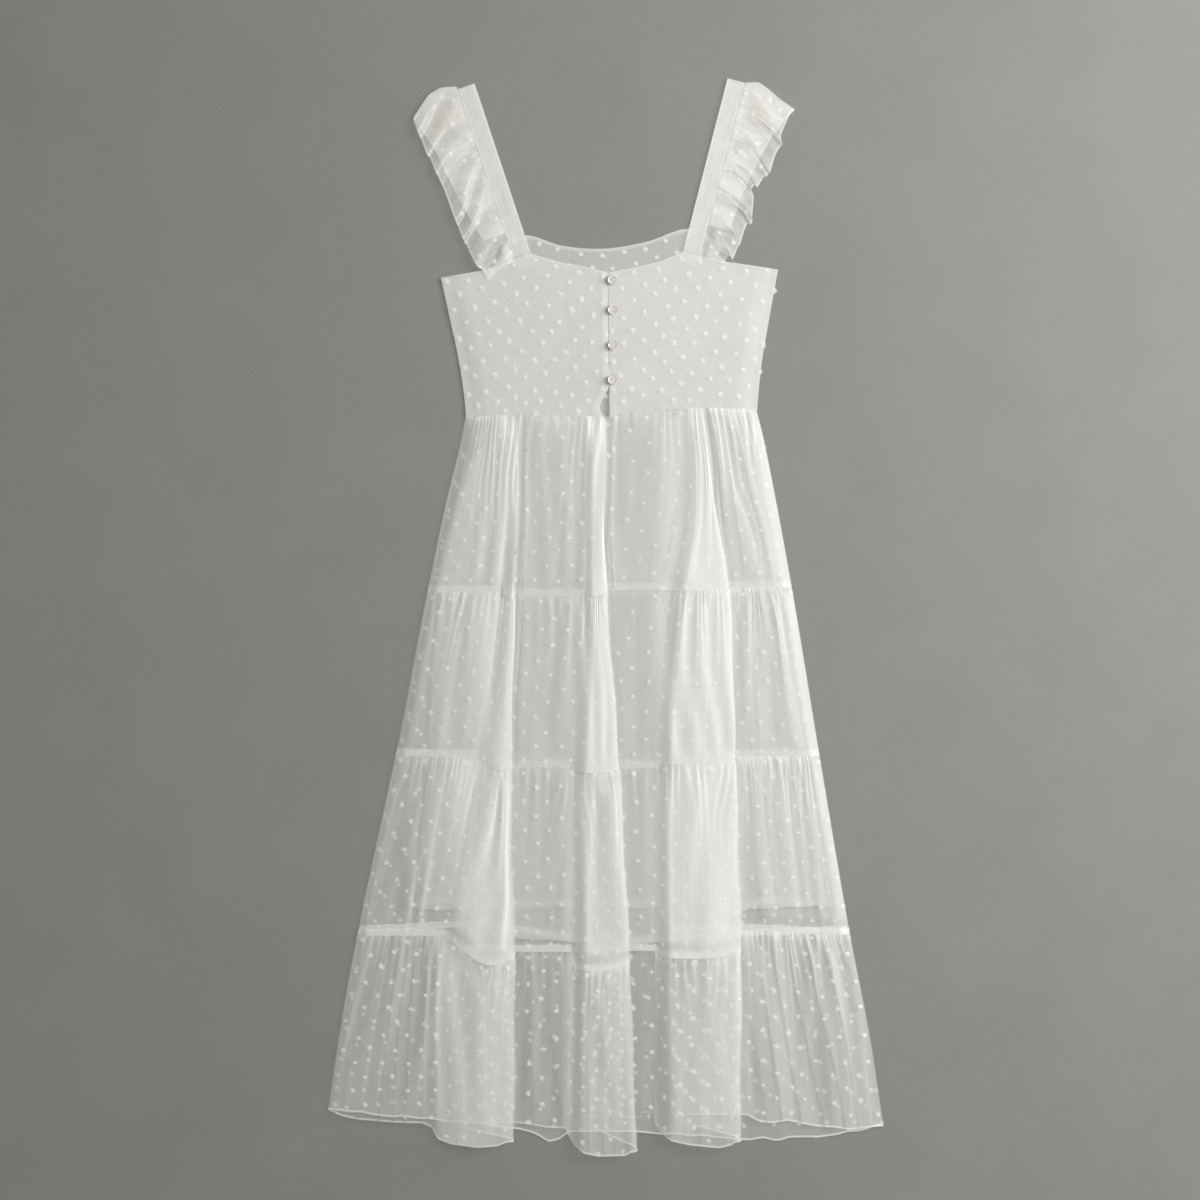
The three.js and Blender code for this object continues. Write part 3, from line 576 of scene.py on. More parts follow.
# %% [markdown]
# ## Gathers
#
# Under each seam the next tier is gathered: fine pleats that soon open into wider waves. A
# plain sine would look like corrugated iron, so we use smooth random noise that is stretched
# down the cloth. The same number that lifts the cloth also pushes it sideways. Where the push
# is strong enough the cloth laps over itself, and three sheer layers give the bright narrow
# lines that gathered voile shows.

# %% Smooth random numbers
LATTICE = (997, 61)


def soft_noise(u, v, seed):
    """Smooth random numbers between -1 and 1, with one cell of the lattice for each unit."""
    lattice = np.random.default_rng(seed).uniform(-1, 1, LATTICE)
    iu, iv = np.floor(u).astype(int), np.floor(v).astype(int)
    fu, fv = smooth(u - iu), smooth(v - iv)

    def pick(a, b):
        return lattice[(iu + a) % LATTICE[0], (iv + b) % LATTICE[1]]

    return between(between(pick(0, 0), pick(1, 0), fu), between(pick(0, 1), pick(1, 1), fu), fv)


print(f"noise at the middle of a cell: {soft_noise(0.5, 0.5, 1):.3f}")

# %% Gathers and laid folds
GATHER_BANDS = [
    {"width": 6.0, "height": 0.5, "push": 1.2, "fade": 15, "length": 40},
    {"width": 12, "height": 0.9, "push": 1.6, "fade": 36, "length": 80},
    {"width": 33, "height": 1.5, "push": 1.7, "fade": 600, "length": 220},
    {"width": 78, "height": 2.2, "push": 2.2, "fade": 900, "length": 400},
]
FIRST_WIDE_BAND = 2
SEWN_REACH = 18


def gathers(across, drop, length, seed, reach=1.0, sewn=True):
    """Lift and sideways push, in millimetres, at a distance below the seam. A sewn lower
    edge lies flat on the tier below."""
    lift, push = 0 * across * drop, 0 * across * drop
    wander = 3 * soft_noise(across / 45, drop / 120, seed + 7)
    start = 0.3 + 0.7 * smooth(drop / 8)
    for number, band in enumerate(GATHER_BANDS):
        width, along = band["width"], drop / band["length"]
        turn = 2 * math.pi * (across + wander) / width
        turn = turn + 5 * soft_noise(across / (1.6 * width), along, seed + number)
        wave = np.sin(turn) * (0.6 + 0.6 * soft_noise(across / (2.3 * width), along, seed + 20 + number))
        strength = start * np.exp(-drop / (band["fade"] * reach))
        if number >= FIRST_WIDE_BAND:
            some = 0.4 + 0.9 * np.maximum(0, soft_noise(across / 70, along, seed + 30))
            strength = some * smooth(drop / 40) * (1 - 0.65 * smooth((drop - length + 40) / 40))
        if sewn:
            strength = strength * smooth((length - drop) / SEWN_REACH)
        lift = lift + band["height"] * strength * wave
        push = push + band["push"] * strength * smooth(drop / 6) * wave
    return lift, push


def lapped(across, drop, pitch, seed):
    """Soft folds laid each over the next: a crisp edge on one side, fading on the other."""
    place = across / pitch + 0.9 * soft_noise(across / (2.2 * pitch), drop / 260, seed)
    part = place - np.floor(place)
    return (1 - part) * smooth(part / 0.08) - 0.45


print("bands of gathers:", len(GATHER_BANDS))

# %% [markdown]
# ## Cloth from a grid
#
# Every sheet starts as a flat bmesh grid. Its points then go where the tables and the noise
# say, while its UV map keeps the place that each point has on the flat cloth. A solidify
# modifier gives the sheet its two faces. The `crowd` and `warm` numbers ride on the points.

# %% Make a sheet of cloth
CLOTH_THICKNESS = 0.35
cloths = {}


def link_piece(name, mesh, material, slot_name, nodes=()):
    piece = bpy.data.objects.new(name, mesh)
    bpy.context.collection.objects.link(piece)
    mesh.materials.append(material)
    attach(piece, "root")
    if nodes:
        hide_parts(*nodes)
    return piece


def paint(mesh, label, values):
    attribute = mesh.attributes.new(label, "FLOAT", "POINT")
    attribute.data.foreach_set("value", values.astype(float))


def cloth_piece(name, points, across, drop, density, node=None, warm=0.0, lining=False,
                thickness=CLOTH_THICKNESS):
    """A sheet of cloth: points has one (x, y, z) in millimetres for each row and column, and
    across and drop say where that point lies on the flat cloth."""
    rows, columns = points.shape[0] - 1, points.shape[1] - 1
    mesh = bpy.data.meshes.new(name)
    bm = bmesh.new()
    bmesh.ops.create_grid(bm, x_segments=columns, y_segments=rows, size=0.5)
    bm.to_mesh(mesh)
    bm.free()
    place = np.zeros(len(mesh.vertices) * 3)
    mesh.vertices.foreach_get("co", place)
    place = place.reshape(-1, 3)
    column = np.rint((place[:, 0] + 0.5) * columns).astype(int)
    row = np.rint((0.5 - place[:, 1]) * rows).astype(int)
    mesh.vertices.foreach_set("co", (points[row, column] * MM).ravel())
    corner = np.zeros(len(mesh.loops), int)
    mesh.loops.foreach_get("vertex_index", corner)

    def on_points(values):
        return np.broadcast_to(values, (rows + 1, columns + 1))[row, column]

    flat_cloth = np.stack([on_points(across), -on_points(drop)], axis=-1) * MM
    mesh.uv_layers.new(name="cloth").data.foreach_set("uv", flat_cloth[corner].ravel())
    paint(mesh, "crowd", on_points(density))
    paint(mesh, "warm", on_points(warm))
    mesh.shade_smooth()
    finish = (LINING, "lining") if lining else (VOILE, "voile")
    piece = link_piece(name, mesh, *finish, [node] if node else ())
    wall = piece.modifiers.new("wall", "SOLIDIFY")
    wall.thickness = thickness * MM
    wall.offset = 0
    shading = piece.modifiers.new("shading", "WEIGHTED_NORMAL")
    shading.mode = "FACE_AREA"
    cloths[name] = {"piece": piece, "points": points, "across": across, "drop": drop}


def crowding(points, across):
    """How crowded the threads are: width of flat cloth for each millimetre that it covers."""
    steps = np.linalg.norm(np.diff(points, axis=1), axis=2)
    ratio = np.diff(across) / np.maximum(steps, 0.05)
    middles = (ratio[:, :-1] + ratio[:, 1:]) / 2
    return np.clip(np.concatenate([ratio[:, :1], middles, ratio[:, -1:]], axis=1), 0.85, 1.6)


def running(steps):
    """Distance along a row of steps, from 0."""
    return np.concatenate([[0], np.cumsum(steps)])


def spread(count, finer):
    """Shares from 0 to 1, closer together at the start where the gathers are."""
    t = np.linspace(0, 1, count + 1)
    return between(t, t * t, finer)


HEM_HEIGHT, HEM_THREADS = 2.0, 6.0


def tier_rows(count, length):
    """Distances below the seam for each row, with two close rows at the lower edge."""
    body = spread(count - 2, 0.35)[:, None] * (length - HEM_HEIGHT - 0.4)
    return np.concatenate([body, length[None] - HEM_HEIGHT, length[None]])


print(f"cloth {CLOTH_THICKNESS} mm thick, hem {HEM_HEIGHT} mm deep")

# %% [markdown]
# ## Front tiers
#
# A front tier is one strip of cloth, sewn to the tier above and gathered into it. The strip
# runs over all three folds, so we make it as one sheet. A table holds what differs from tier
# to tier, with four values in each row for the tiers from the waist down. First we place the
# cloth, and then we say how many threads a sight line meets at each point.

# %% Table of the front tiers
FRONT_ROWS = 50
FULLNESS = 1.12
FRONT_TIERS = {
    # Gathers and laid folds: their reach below the seam, and how calm they are at the right.
    "gatherReach": [1.9, 1, 1, 1],
    "calm": [0, 0.6, 0.6, 0],
    "lapPitch": [15, 19, 22, 27],
    "lapHeight": [0.4, 0.4, 0.5, 1.3],
    "seamRidge": [0.5, 0.6, 1.2, 0],
    # More threads on the folds' crests and at the left side, fewer in the dips between them, where the
    # thinner cloth also paints in the shade between the folds.
    "foldRight": [4.0, 4.0, 4.2, 1.4],
    "foldMiddle": [6.5, 5.0, 2.8, 0.7],
    "foldLeft": [4.4, 3.3, 4.2, 0.9],
    "leftSide": [3.0, 3.0, 2.4, 0.0],
    "dip0": [1, 1, 0.82, 0.62],
    "dip1": [0.72, 0.66, 0.62, 0.55],
    "dip2": [0.78, 0.42, 0.4, 0.2],
    "dip3": [1.35, 1.15, 1.3, 1.32],
    # Where the right fold starts to look close, and over what width.
    "closeFrom": [-140, -165, -192, -208],
    "closeWidth": [25, 30, 38, 28],
    # Streaks of crowded threads, and the crowded heading just below the seam. The lap streaks are partly
    # painted highlight and shade of the pleats.
    "broadStreaks": [0.2, 0.2, 0.2, 0.3],
    "lapStreaks": [0.2, 0.14, 0.16, 0.42],
    "lapOnFold": [1, 0.2, 0.2, 0.2],
    "seamStreakReach": [45, 24, 24, 24],
    "headingNear": [1.0, 0.5, 0.5, 1.0],
    "headingFar": [1.2, 0.4, 0.4, 0.4],
    "headingReach": [16, 30, 30, 30],
    # A painted shade line: thinner cloth just above the seam under the third tier.
    "shadeAboveSeam": [0, 0, 1, 0],
}
CLOSE_PLACE = ("top", "bottom", "reach", "threads")
CLOSE_PLACES = {
    1: [(-12, -4, 13, 5.6), (78, 72, 16, 2.4), (124, 112, 12, 3.0), (-178, -200, 12, 1.2),
        (-112, -112, 8, 3.0)],
    2: [(-22, -28, 12, 2.4), (66, 70, 12, 2.6)],
    3: [(-40, -40, 9, 2.0), (56, 56, 8, 1.5), (-150, -150, 18, 1.2)],
    4: [(-40, -40, 9, 2.2), (56, 56, 8, 0.5), (-166, -164, 27, 2.1)],
}
SLIT_DEPTH, SLIT_X, SLIT_HALF_WIDTH = 8.5, 2.6, 4.2
SEAM_LAP = 0.5
SIDE_LIFT = 1.5
FRONT_LIFT = {"atWaist": 4.6, "lined": 5.9, "atHem": 3.4, "waistDrop": 25, "top": -374, "hem": -596}
STAND_OFF = 0.6
PUFF = 1.9
UNDERLAY_THREADS = 0.12
print("values for each front tier:", len(FRONT_TIERS))

# %% Place the cloth of a front tier
def front_lift(tier, drop, y):
    """How high the cloth lies on what is under it, away from the sides."""
    lined = FRONT_LIFT["lined"]
    if tier == 1:
        return between(FRONT_LIFT["atWaist"], lined, np.minimum(1, drop / FRONT_LIFT["waistDrop"]))
    if tier < 4:
        return lined + 0 * y
    fall = (y - FRONT_LIFT["top"]) / (FRONT_LIFT["hem"] - FRONT_LIFT["top"])
    return between(lined, FRONT_LIFT["atHem"], np.clip(fall, 0, 1))


def front_edges(tier):
    """The seam above a tier and the seam or hem below it, at every station."""
    x_waist = front_line(WAIST_Y)
    top = seam_line(tier - 1, x_waist)
    if tier == 1:
        top = top - SLIT_DEPTH * np.clip(1 - np.abs(x_waist - SLIT_X) / SLIT_HALF_WIDTH, 0, 1)
    if tier == 4:
        return top, hem_line() + 0.8 * soft_noise(x_waist / 13, 0, 31)
    return top, seam_line(tier, x_waist)


def room_for_waves(x, across):
    """From 0 to 1: how freely the cloth can wave where a fold squeezes its columns together."""
    room = np.abs(np.diff(x)) / np.maximum(np.diff(across), 0.01)
    before, after = (np.pad(room, ((0, 0), pad), "edge") for pad in ((1, 0), (0, 1)))
    return np.where(KIND == "flat", 1, smooth(1.3 * np.minimum(before, after)))


def hidden_share():
    """1 where a station lies under a fold, and 0 where it shows."""
    hidden = np.where(KIND == "tuck", smooth((STATION_SHARE - 0.02) / 0.2), 0)
    return np.where(KIND == "under", 1 - smooth((STATION_SHARE - 0.8) / 0.2), hidden)


def front_shape(tier, own):
    top, bottom = front_edges(tier)
    length = top - bottom + (SEAM_LAP if tier < 4 else 0)
    drop = tier_rows(FRONT_ROWS, length)
    y = top - drop
    x, lift = across_front(y)
    if tier == 1:
        lift = lift * smooth(drop / 40)
    across = FULLNESS * running(np.hypot(np.diff(x[-1]), np.diff(lift[-1])))
    rolled = np.where(KIND == "rollIn", STATION_SHARE, np.where(KIND == "rollOut", 1 - STATION_SHARE, 1))
    loose = between(1, 0.12, hidden_share()) * smooth(0.15 + rolled)
    rise, push = gathers(across, drop, length, 100 * tier, own["gatherReach"], tier < 4)
    room = room_for_waves(x, across)
    calm = np.where(RIGHT_FLAT, 1 - own["calm"] * smooth((STATION_SHARE - 0.5) / 0.3), 1)
    rise = rise * calm * np.where(RIGHT_CREST, room ** 1.5, between(0.4, 1, room))
    laps = lapped(across, drop, own["lapPitch"], 50 + tier)
    lap_height = own["lapHeight"] * ON_FLAT * smooth(drop / 30)
    soft_side = 0.9 * ON_SOFT_SIDE
    puff = PUFF * between(smooth(drop / 10), 1, soft_side * (tier > 1))
    if tier < 4:
        lap_height = lap_height * smooth((length - drop) / 30)
        puff = puff * between(smooth((length - drop) / SEWN_REACH), 1, soft_side)
        puff = puff + own["seamRidge"] * (1 - ON_SOFT_SIDE) * smooth((10 - length + drop) / 2.5)
    base = between(SIDE_LIFT, front_lift(tier, drop, y), smooth(rolled))
    z = base + STAND_OFF + lift + loose * (puff + rise + lap_height * laps)
    points = np.stack([x + loose * push * room * calm, y, z], axis=-1)
    return points, across, drop, length, x, laps


# %% Say how crowded its threads are
def crest_threads(tier, own, x, y, fall):
    """Threads added on the folds' crests, in a few narrow places and at the left side."""
    crest = np.zeros_like(x)
    for index, stretch, mine, share in each_stretch():
        kind, fold = stretch["kind"], stretch.get("fold")
        if index == 1 or (fold == "foldRight" and kind in ("rise", "crest")):
            fold, rising = "foldRight", smooth((x[:, mine] - own["closeFrom"]) / own["closeWidth"])
        elif kind in ("rise", "crest"):
            rising = smooth(share * 2) if kind == "rise" else 1
        elif kind == "tuck":
            rising = 1 - smooth(share / 0.15)
        else:
            continue
        crest[:, mine] = own[fold] * rising
    for values in CLOSE_PLACES[tier]:
        place = dict(zip(CLOSE_PLACE, values))
        away = (x - between(place["top"], place["bottom"], fall)) / place["reach"]
        crest = crest + place["threads"] * np.exp(-away ** 2) * (1 - hidden_share())
    return crest + own["leftSide"] * np.exp(-((skirt_side("left", y) - x) / 24) ** 4)


def dip_threads(own):
    """The share of threads in the dips and under a fold; thin dips also paint in the shade between the folds.
    """
    thin, dip = np.ones(len(stations)), -1
    for _, stretch, mine, share in each_stretch():
        if stretch["kind"] == "flat":
            dip += 1
            thin[mine] = own[f"dip{dip}"]
        elif stretch["kind"] == "tuck":
            thin[mine] = between(1, UNDERLAY_THREADS, smooth((share - 0.35) / 0.35))
        elif stretch["kind"] == "under":
            thin[mine] = between(UNDERLAY_THREADS, own[f"dip{dip + 1}"], smooth(share * 1.3))
    return thin


def front_threads(tier, own, points, across, drop, length, x, laps):
    on_fold = (RIGHT_RISE | RIGHT_CREST)
    streaks = 1 + 0.16 * soft_noise(across / 4, drop / 120, 60 + tier)
    streaks = streaks + 0.16 * soft_noise(across / 11, drop / 200, 70 + tier)
    streaks = streaks + own["broadStreaks"] * soft_noise(across / 26, drop / 350, 90 + tier)
    # Each laid fold is crowded at its crisp edge and thinner after it: partly the lap's extra layer, partly
    # painted highlight and shade of the pleat.
    streaks = streaks + own["lapStreaks"] * laps * np.where(on_fold, own["lapOnFold"], 1)
    near_seam = np.exp(-drop / own["seamStreakReach"])
    streaks = streaks + 0.6 * near_seam * soft_noise(across / 2.6, drop / 70, 80 + tier)
    heading = own["headingNear"] * np.exp(-drop / 5) + own["headingFar"] * np.exp(-drop / own["headingReach"])
    heading = 1.15 + heading * (1 - ON_SOFT_SIDE)
    thin = dip_threads(own)
    density = crowding(points, across) * heading * thin * streaks
    # Thinner cloth just above the third tier's lower seam paints a line of shade on the folds there.
    painted_shade_above_seam = own["shadeAboveSeam"] * (1 - np.clip(np.abs(length - drop - 13) / 7, 0, 1))
    crest = crest_threads(tier, own, x, points[..., 1], drop / length) * (0.75 + 0.25 * streaks)
    density = density + crest * smooth(0.3 + drop / 30) * (1 - 0.35 * painted_shade_above_seam)
    density = density * (1 - 0.3 * painted_shade_above_seam)
    if tier == 4:
        in_hem = length - drop < HEM_HEIGHT + 0.1
        density = np.where(in_hem, HEM_THREADS * np.minimum(1, thin + 0 * drop), density)
    return density


for tier in (1, 2, 3, 4):
    own = {column: values[tier - 1] for column, values in FRONT_TIERS.items()}
    points, across, drop, *rest = front_shape(tier, own)
    density = front_threads(tier, own, points, across, drop, *rest)
    cloth_piece(f"front_tier_{tier}", points, across, drop, density, f"skirt_front_tier_{tier}")
    print(f"front tier {tier}: cut {across[-1]:.0f} mm wide")

# %% [markdown]
# ## Back tiers and lining
#
# The dress lies on its back, so the back tiers are pressed almost flat and their folds are
# small. The short lining hangs inside as a plain flared slip of closer cloth. We see it only
# as a whiter shape through the voile, with a hem that isn't quite level.

# %% Back tiers
BACK_COLUMNS, BACK_ROWS, BACK_INSET = 200, 36, 1
BACK_FULLNESS = 1.3
BACK_STAND_OFF = 0.8


def back_tier(tier):
    share_across = np.linspace(0, 1, BACK_COLUMNS + 1)
    x_waist = between(WAIST_RIGHT, WAIST_LEFT, share_across)
    top = waist_at(x_waist) if tier == 1 else read_levels(BACK_SEAMS[tier - 1], share_across)
    if tier == 4:
        x_hem = between(-HEM_HALF_WIDTH, HEM_HALF_WIDTH, share_across)
        bottom = np.interp(x_hem, BACK_HEM["x"], BACK_HEM["y"]) + 1.6 * soft_noise(x_hem / 17, 0, 33)
    else:
        bottom = read_levels(BACK_SEAMS[tier], share_across)
    length = top - bottom + (SEAM_LAP if tier < 4 else 0)
    drop = tier_rows(BACK_ROWS, length)
    y = top - drop
    x = between(skirt_side("right", y) + BACK_INSET, skirt_side("left", y) - BACK_INSET, share_across)
    across = BACK_FULLNESS * running(np.diff(x[-1]))
    reach = 1.9 if tier == 1 else 1.0
    rise, push = gathers(across, drop, length, 100 * tier + 50, reach, tier < 4)
    inside = smooth(20 * np.minimum(share_across, 1 - share_across))
    z = BACK_STAND_OFF + inside * np.maximum(0, 0.7 * smooth(drop / 10) + 0.6 * rise)
    points = np.stack([x + inside * push, y, z], axis=-1)
    density = crowding(points, across)
    if tier == 4:
        density = np.where(length - drop < HEM_HEIGHT + 0.1, HEM_THREADS, density)
    cloth_piece(f"back_tier_{tier}", points, across, drop, density, f"skirt_back_tier_{tier}")
    print(f"back tier {tier}: cut {across[-1]:.0f} mm wide")


for tier in (1, 2, 3, 4):
    back_tier(tier)

# %% Skirt lining
LINING_LIFT = {"atWaist": 2.0, "below": 3.3, "waistDrop": 25, "stand": 0.5, "step": 1.3}
LINING_HEM = 9


def lining_panel(panel, step, seed):
    share_across = np.linspace(0, 1, 101)
    inset_right, inset_left = (read_table(LINING_SIDES, "y", side, WAIST_Y) for side in ("right", "left"))
    x_waist = between(WAIST_RIGHT + inset_right, WAIST_LEFT - inset_left, share_across)
    top, bottom = waist_at(x_waist) - 1, read_levels(LINING_HEMS[panel], share_across)
    share = spread(60, -0.35)[:, None]
    drop = share * (top - bottom)
    y = top - drop
    right = skirt_side("right", y) + read_table(LINING_SIDES, "y", "right", y)
    left = skirt_side("left", y) - read_table(LINING_SIDES, "y", "left", y)
    x = between(right, left, share_across) + share * 2 * soft_noise(drop / 90, 5 * share_across, seed + 3)
    across = 1.05 * running(np.diff(x[-1]))
    y = y + share ** 4 * 3 * soft_noise(across / 40, 0, seed)
    fall = np.minimum(1, drop / LINING_LIFT["waistDrop"])
    lift = between(LINING_LIFT["atWaist"], LINING_LIFT["below"], fall) + LINING_LIFT["stand"]
    z = lift + step * LINING_LIFT["step"] + 0.35 * soft_noise(across / 30, drop / 120, seed + 1)
    points = np.stack([x, y, z], axis=-1)
    hem = drop > drop[-1] - LINING_HEM
    from_side = np.minimum(x - right, 3 * (left - x))
    density = (1 + 0.8 * hem) * (0.3 + 0.7 * smooth(from_side / 16))
    cloth_piece(f"lining_{panel}_cloth", points, across, drop, density, f"lining_{panel}", lining=True)
    print(f"{panel} lining: cut {across[-1]:.0f} mm wide")


lining_panel("back", 0, 900)
lining_panel("front", 1, 910)

# %% [markdown]
# ## Bodice
#
# Each front panel is voile over a close lining, so it looks opaque, and the tufts stand on it.
# The back panel is one sheer layer. A narrow facing runs down each centre front edge. The
# straps are sewn on inside the panels, so where they lie the panels bulge a little.

# %% Tables of the bodice
BODICE_SIDES = {
    "y": [410, 351, 304, 257, 238],
    "right": [-195, -182, -172, -165, -163.4],
    "left": [204.7, 194, 186, 181, 180],
}
FRONT_TOP = {
    "right": {"x": [-195, -183, -144.6, -124, -106.6, -86.7, -52.5, -19.5, 3.5],
              "y": [400.6, 402.6, 408.9, 415.5, 422.3, 428.9, 418.8, 412.9, 406.5]},
    "left": {"x": [4.2, 39.5, 66.2, 92.6, 112.9, 130, 151.6, 192.7, 204.7],
             "y": [406.5, 413.6, 420.1, 431.3, 426.1, 421, 418.3, 412, 410.1]},
}
BACK_TOP = {
    "x": [-193.5, -150, -128, -113.9, -94, -50, 0, 50, 99.7, 120, 134, 156, 203.5],
    "y": [400, 404, 416, 444.3, 450.9, 438.7, 435.2, 443.4, 458.9, 453.8, 428, 414, 409.5],
}
BODICE_ROLL = 26
BODICE_LIFT = {"y": [430, 405, 360, 300, 238], "lift": [2.9, 2.9, 3.9, 4.0, 3.6]}
CENTRE_FRONT = {
    "y": [410, 300, 273, 246, 238],
    "right": [3.5, 4.9, 5.2, -5.4, -1.2],
    "left": [4.2, 5.6, 5.9, 6.2, 6.2],
}


def bodice_side(side, y):
    return read_table(BODICE_SIDES, "y", side, y)


def top_stations(top, count):
    """Places across a panel, with one at every corner of its top edge, and their shares."""
    first, last = top["x"][0], top["x"][-1]
    x = np.sort(np.concatenate([np.linspace(first, last, count), top["x"][1:-1]]))
    return x, (x - first) / (last - first)


print("points along the front top edges:", sum(len(top["x"]) for top in FRONT_TOP.values()))

# %% Tables of the straps and ruffles
STRAP_WIDTH, STRAP_FRONT_Z, TURN_RADIUS, STRAP_SEWN = 21, 3.9, 1.65, 15
STRAPS = {
    "right": {"top": (-152.8, 628.4), "dir": (0.3145, -0.949), "out": (-0.949, -0.3145),
              "front": 210, "back": 187},
    "left": {"top": (144.6, 634.3), "dir": (-0.248, -0.9688), "out": (0.9688, -0.248),
             "front": 209.5, "back": 181},
}
RUFFLES = {
    "right": {
        "front": {"s": [0, 34, 70, 110, 150, 186, 209], "width": [61, 59.5, 55, 52, 50, 45, 37],
                  "drop": [14, 14, 14, 13, 13, 12, 11]},
        "back": {"s": [0, 40, 110, 180], "width": [61, 50, 40, 28], "drop": [14, 12, 8, 0]},
    },
    "left": {
        "front": {"s": [0, 36, 46, 66, 88, 108, 124, 144, 160, 188, 207],
                  "width": [65, 57, 61, 56, 53, 38, 45, 49, 43, 40, 30],
                  "drop": [15, 14, 14, 14, 14, 14, 14, 13, 12, 9, 0]},
        "back": {"s": [0, 40, 110, 174], "width": [65, 48, 32, 26], "drop": [15, 12, 8, 0]},
    },
}


def folded_place(side, run, across, raised=0.0, along=0.0):
    """A point on a strip that turns over at the shoulder. run is positive on the front."""
    strap = STRAPS[side]
    quarter = TURN_RADIUS * math.pi / 2
    turn = np.clip(run / TURN_RADIUS, -math.pi / 2, math.pi / 2)
    lead = np.maximum(np.abs(run) - quarter, 0) - TURN_RADIUS * np.cos(turn) + along
    x, y = (strap["top"][i] + strap["out"][i] * across + strap["dir"][i] * lead for i in (0, 1))
    z = STRAP_FRONT_Z - TURN_RADIUS * (1 - np.sin(turn)) + raised
    return np.stack(np.broadcast_arrays(x, y, z), axis=-1)


def run_over(front, back, turn, counts):
    """Distances along a strip, from its front end over the shoulder to its back end."""
    ends = ((front, turn + 1), (turn, -turn), (-turn - 1, -back))
    return np.concatenate([np.linspace(*pair, count) for pair, count in zip(ends, counts)])[:, None]


def strap_place(side, x, y):
    """How far down a strap, and how far across it, a point of the bodice lies."""
    strap = STRAPS[side]
    dx, dy = x - strap["top"][0], y - strap["top"][1]
    return tuple(dx * strap[line][0] + dy * strap[line][1] for line in ("dir", "out"))


print("straps reach", [strap["top"][1] for strap in STRAPS.values()], "mm up")

# %% Front panels
FACING_WIDTH, FACING_END = 7, 262
OUTER_HEIGHT, INNER_HEIGHT = 2.0, 0.9
# The right panel has fewer lining threads, so more floor shows through it: painted shade on the side the lamp
# reaches least.
LINING_THREADS_AND_SHADE = {"right": 2.25, "left": 2.6}
TOP_EDGE, CENTRE_EDGE = 2, 1.0


def front_panel(side, outer, seed):
    """The voile of one side when outer is true, and otherwise the lining under it."""
    top = FRONT_TOP[side]
    columns, rows = (91, 81) if outer else (46, 41)
    stations_x, share = top_stations(top, columns)
    to_side = 1 - share if side == "right" else share
    middle = read_table(CENTRE_FRONT, "y", side, WAIST_Y)
    waist = waist_at(between(middle, bodice_side(side, WAIST_Y), to_side)) - SEAM_LAP
    y = between(waist, np.interp(stations_x, top["x"], top["y"]), np.linspace(1, 0, rows)[:, None])
    side_x, centre_x = bodice_side(side, y), read_table(CENTRE_FRONT, "y", side, y)
    x = between(centre_x, side_x, to_side)
    drop, from_centre = y[0] - y, np.abs(x - centre_x)
    lift = read_table(BODICE_LIFT, "y", "lift", y)
    lift = between(SIDE_LIFT, lift, smooth(np.abs(side_x - x) / BODICE_ROLL))
    soft = soft_noise(x / 60, y / 40, seed) * smooth(drop / 20) * smooth(to_side * 8)
    puckers = np.exp(-(y - waist) / 14) * soft_noise(x / 5, y / 60, seed + 1)
    facing = 1 - smooth((from_centre - FACING_WIDTH) / 1.5)
    facing = facing * between(0.35, 1, smooth((y - FACING_END) / 14))
    run, on_strap = strap_place(side, x, y)
    on_strap = smooth(on_strap / 1.2) * smooth((STRAP_WIDTH - on_strap) / 1.2)
    on_strap = on_strap * smooth((STRAPS[side]["front"] + STRAP_SEWN - run) / 3)
    height = OUTER_HEIGHT - 0.4 * smooth((waist + 14 - y) / 14) if outer else INNER_HEIGHT
    z = lift + height + 0.8 * soft + 0.35 * puckers + (0.25 * facing + 0.3 * on_strap) * outer
    points = np.stack([x, y, z], axis=-1)
    if outer:
        edge = ((drop < TOP_EDGE) & (on_strap < 0.5)) | (from_centre < CENTRE_EDGE)
        density = 1.25 + 2.2 * facing * (side == "right") + 1.4 * edge + 0.9 * on_strap
    else:
        density = LINING_THREADS_AND_SHADE[side] + 0 * drop
    name = f"bodice_front_{side}_cloth" if outer else f"bodice_lining_{side}"
    cloth_piece(name, points, np.abs(x), drop, density, f"bodice_front_{side}", lining=not outer)


for side, seed in (("right", 400), ("left", 440)):
    front_panel(side, False, seed)
    front_panel(side, True, seed)
    print(f"{side} front panel: top edge at {FRONT_TOP[side]['y'][0]} mm at the side")

# %% Back panel
BACK_THREADS, BACK_EDGE = 2.5, 1.6
BACK_TOP_COUNT, BACK_PANEL_ROWS = 111, 41

stations_x, share = top_stations(BACK_TOP, BACK_TOP_COUNT)
top_y = read_table(BACK_TOP, "x", "y", stations_x)
waist = waist_at(between(WAIST_RIGHT, WAIST_LEFT, share))
y = between(waist, top_y, np.linspace(1, 0, BACK_PANEL_ROWS)[:, None])
x = between(bodice_side("right", y) + BACK_INSET, bodice_side("left", y) - BACK_INSET, share)
drop = y[0] - y
points = np.stack([x, y, 0.5 + 0.2 * soft_noise(x / 40, y / 40, 470)], axis=-1)
density = BACK_THREADS + 3.0 * (drop < BACK_EDGE)
cloth_piece("bodice_back_cloth", points, x, drop, density, "bodice_back")
print(f"back panel: up to {top_y.max():.0f} mm")

# %% [markdown]
# ## Straps and ruffles
#
# A strap is a band of double voile that turns over at the shoulder. The ruffle is a wide strip
# gathered into its outer edge. Its folds lie slantwise and lap over each other. The back half
# of a ruffle lies under the front half, so its folds are flatter.

# %% Straps
STRAP_HEM = 1.6


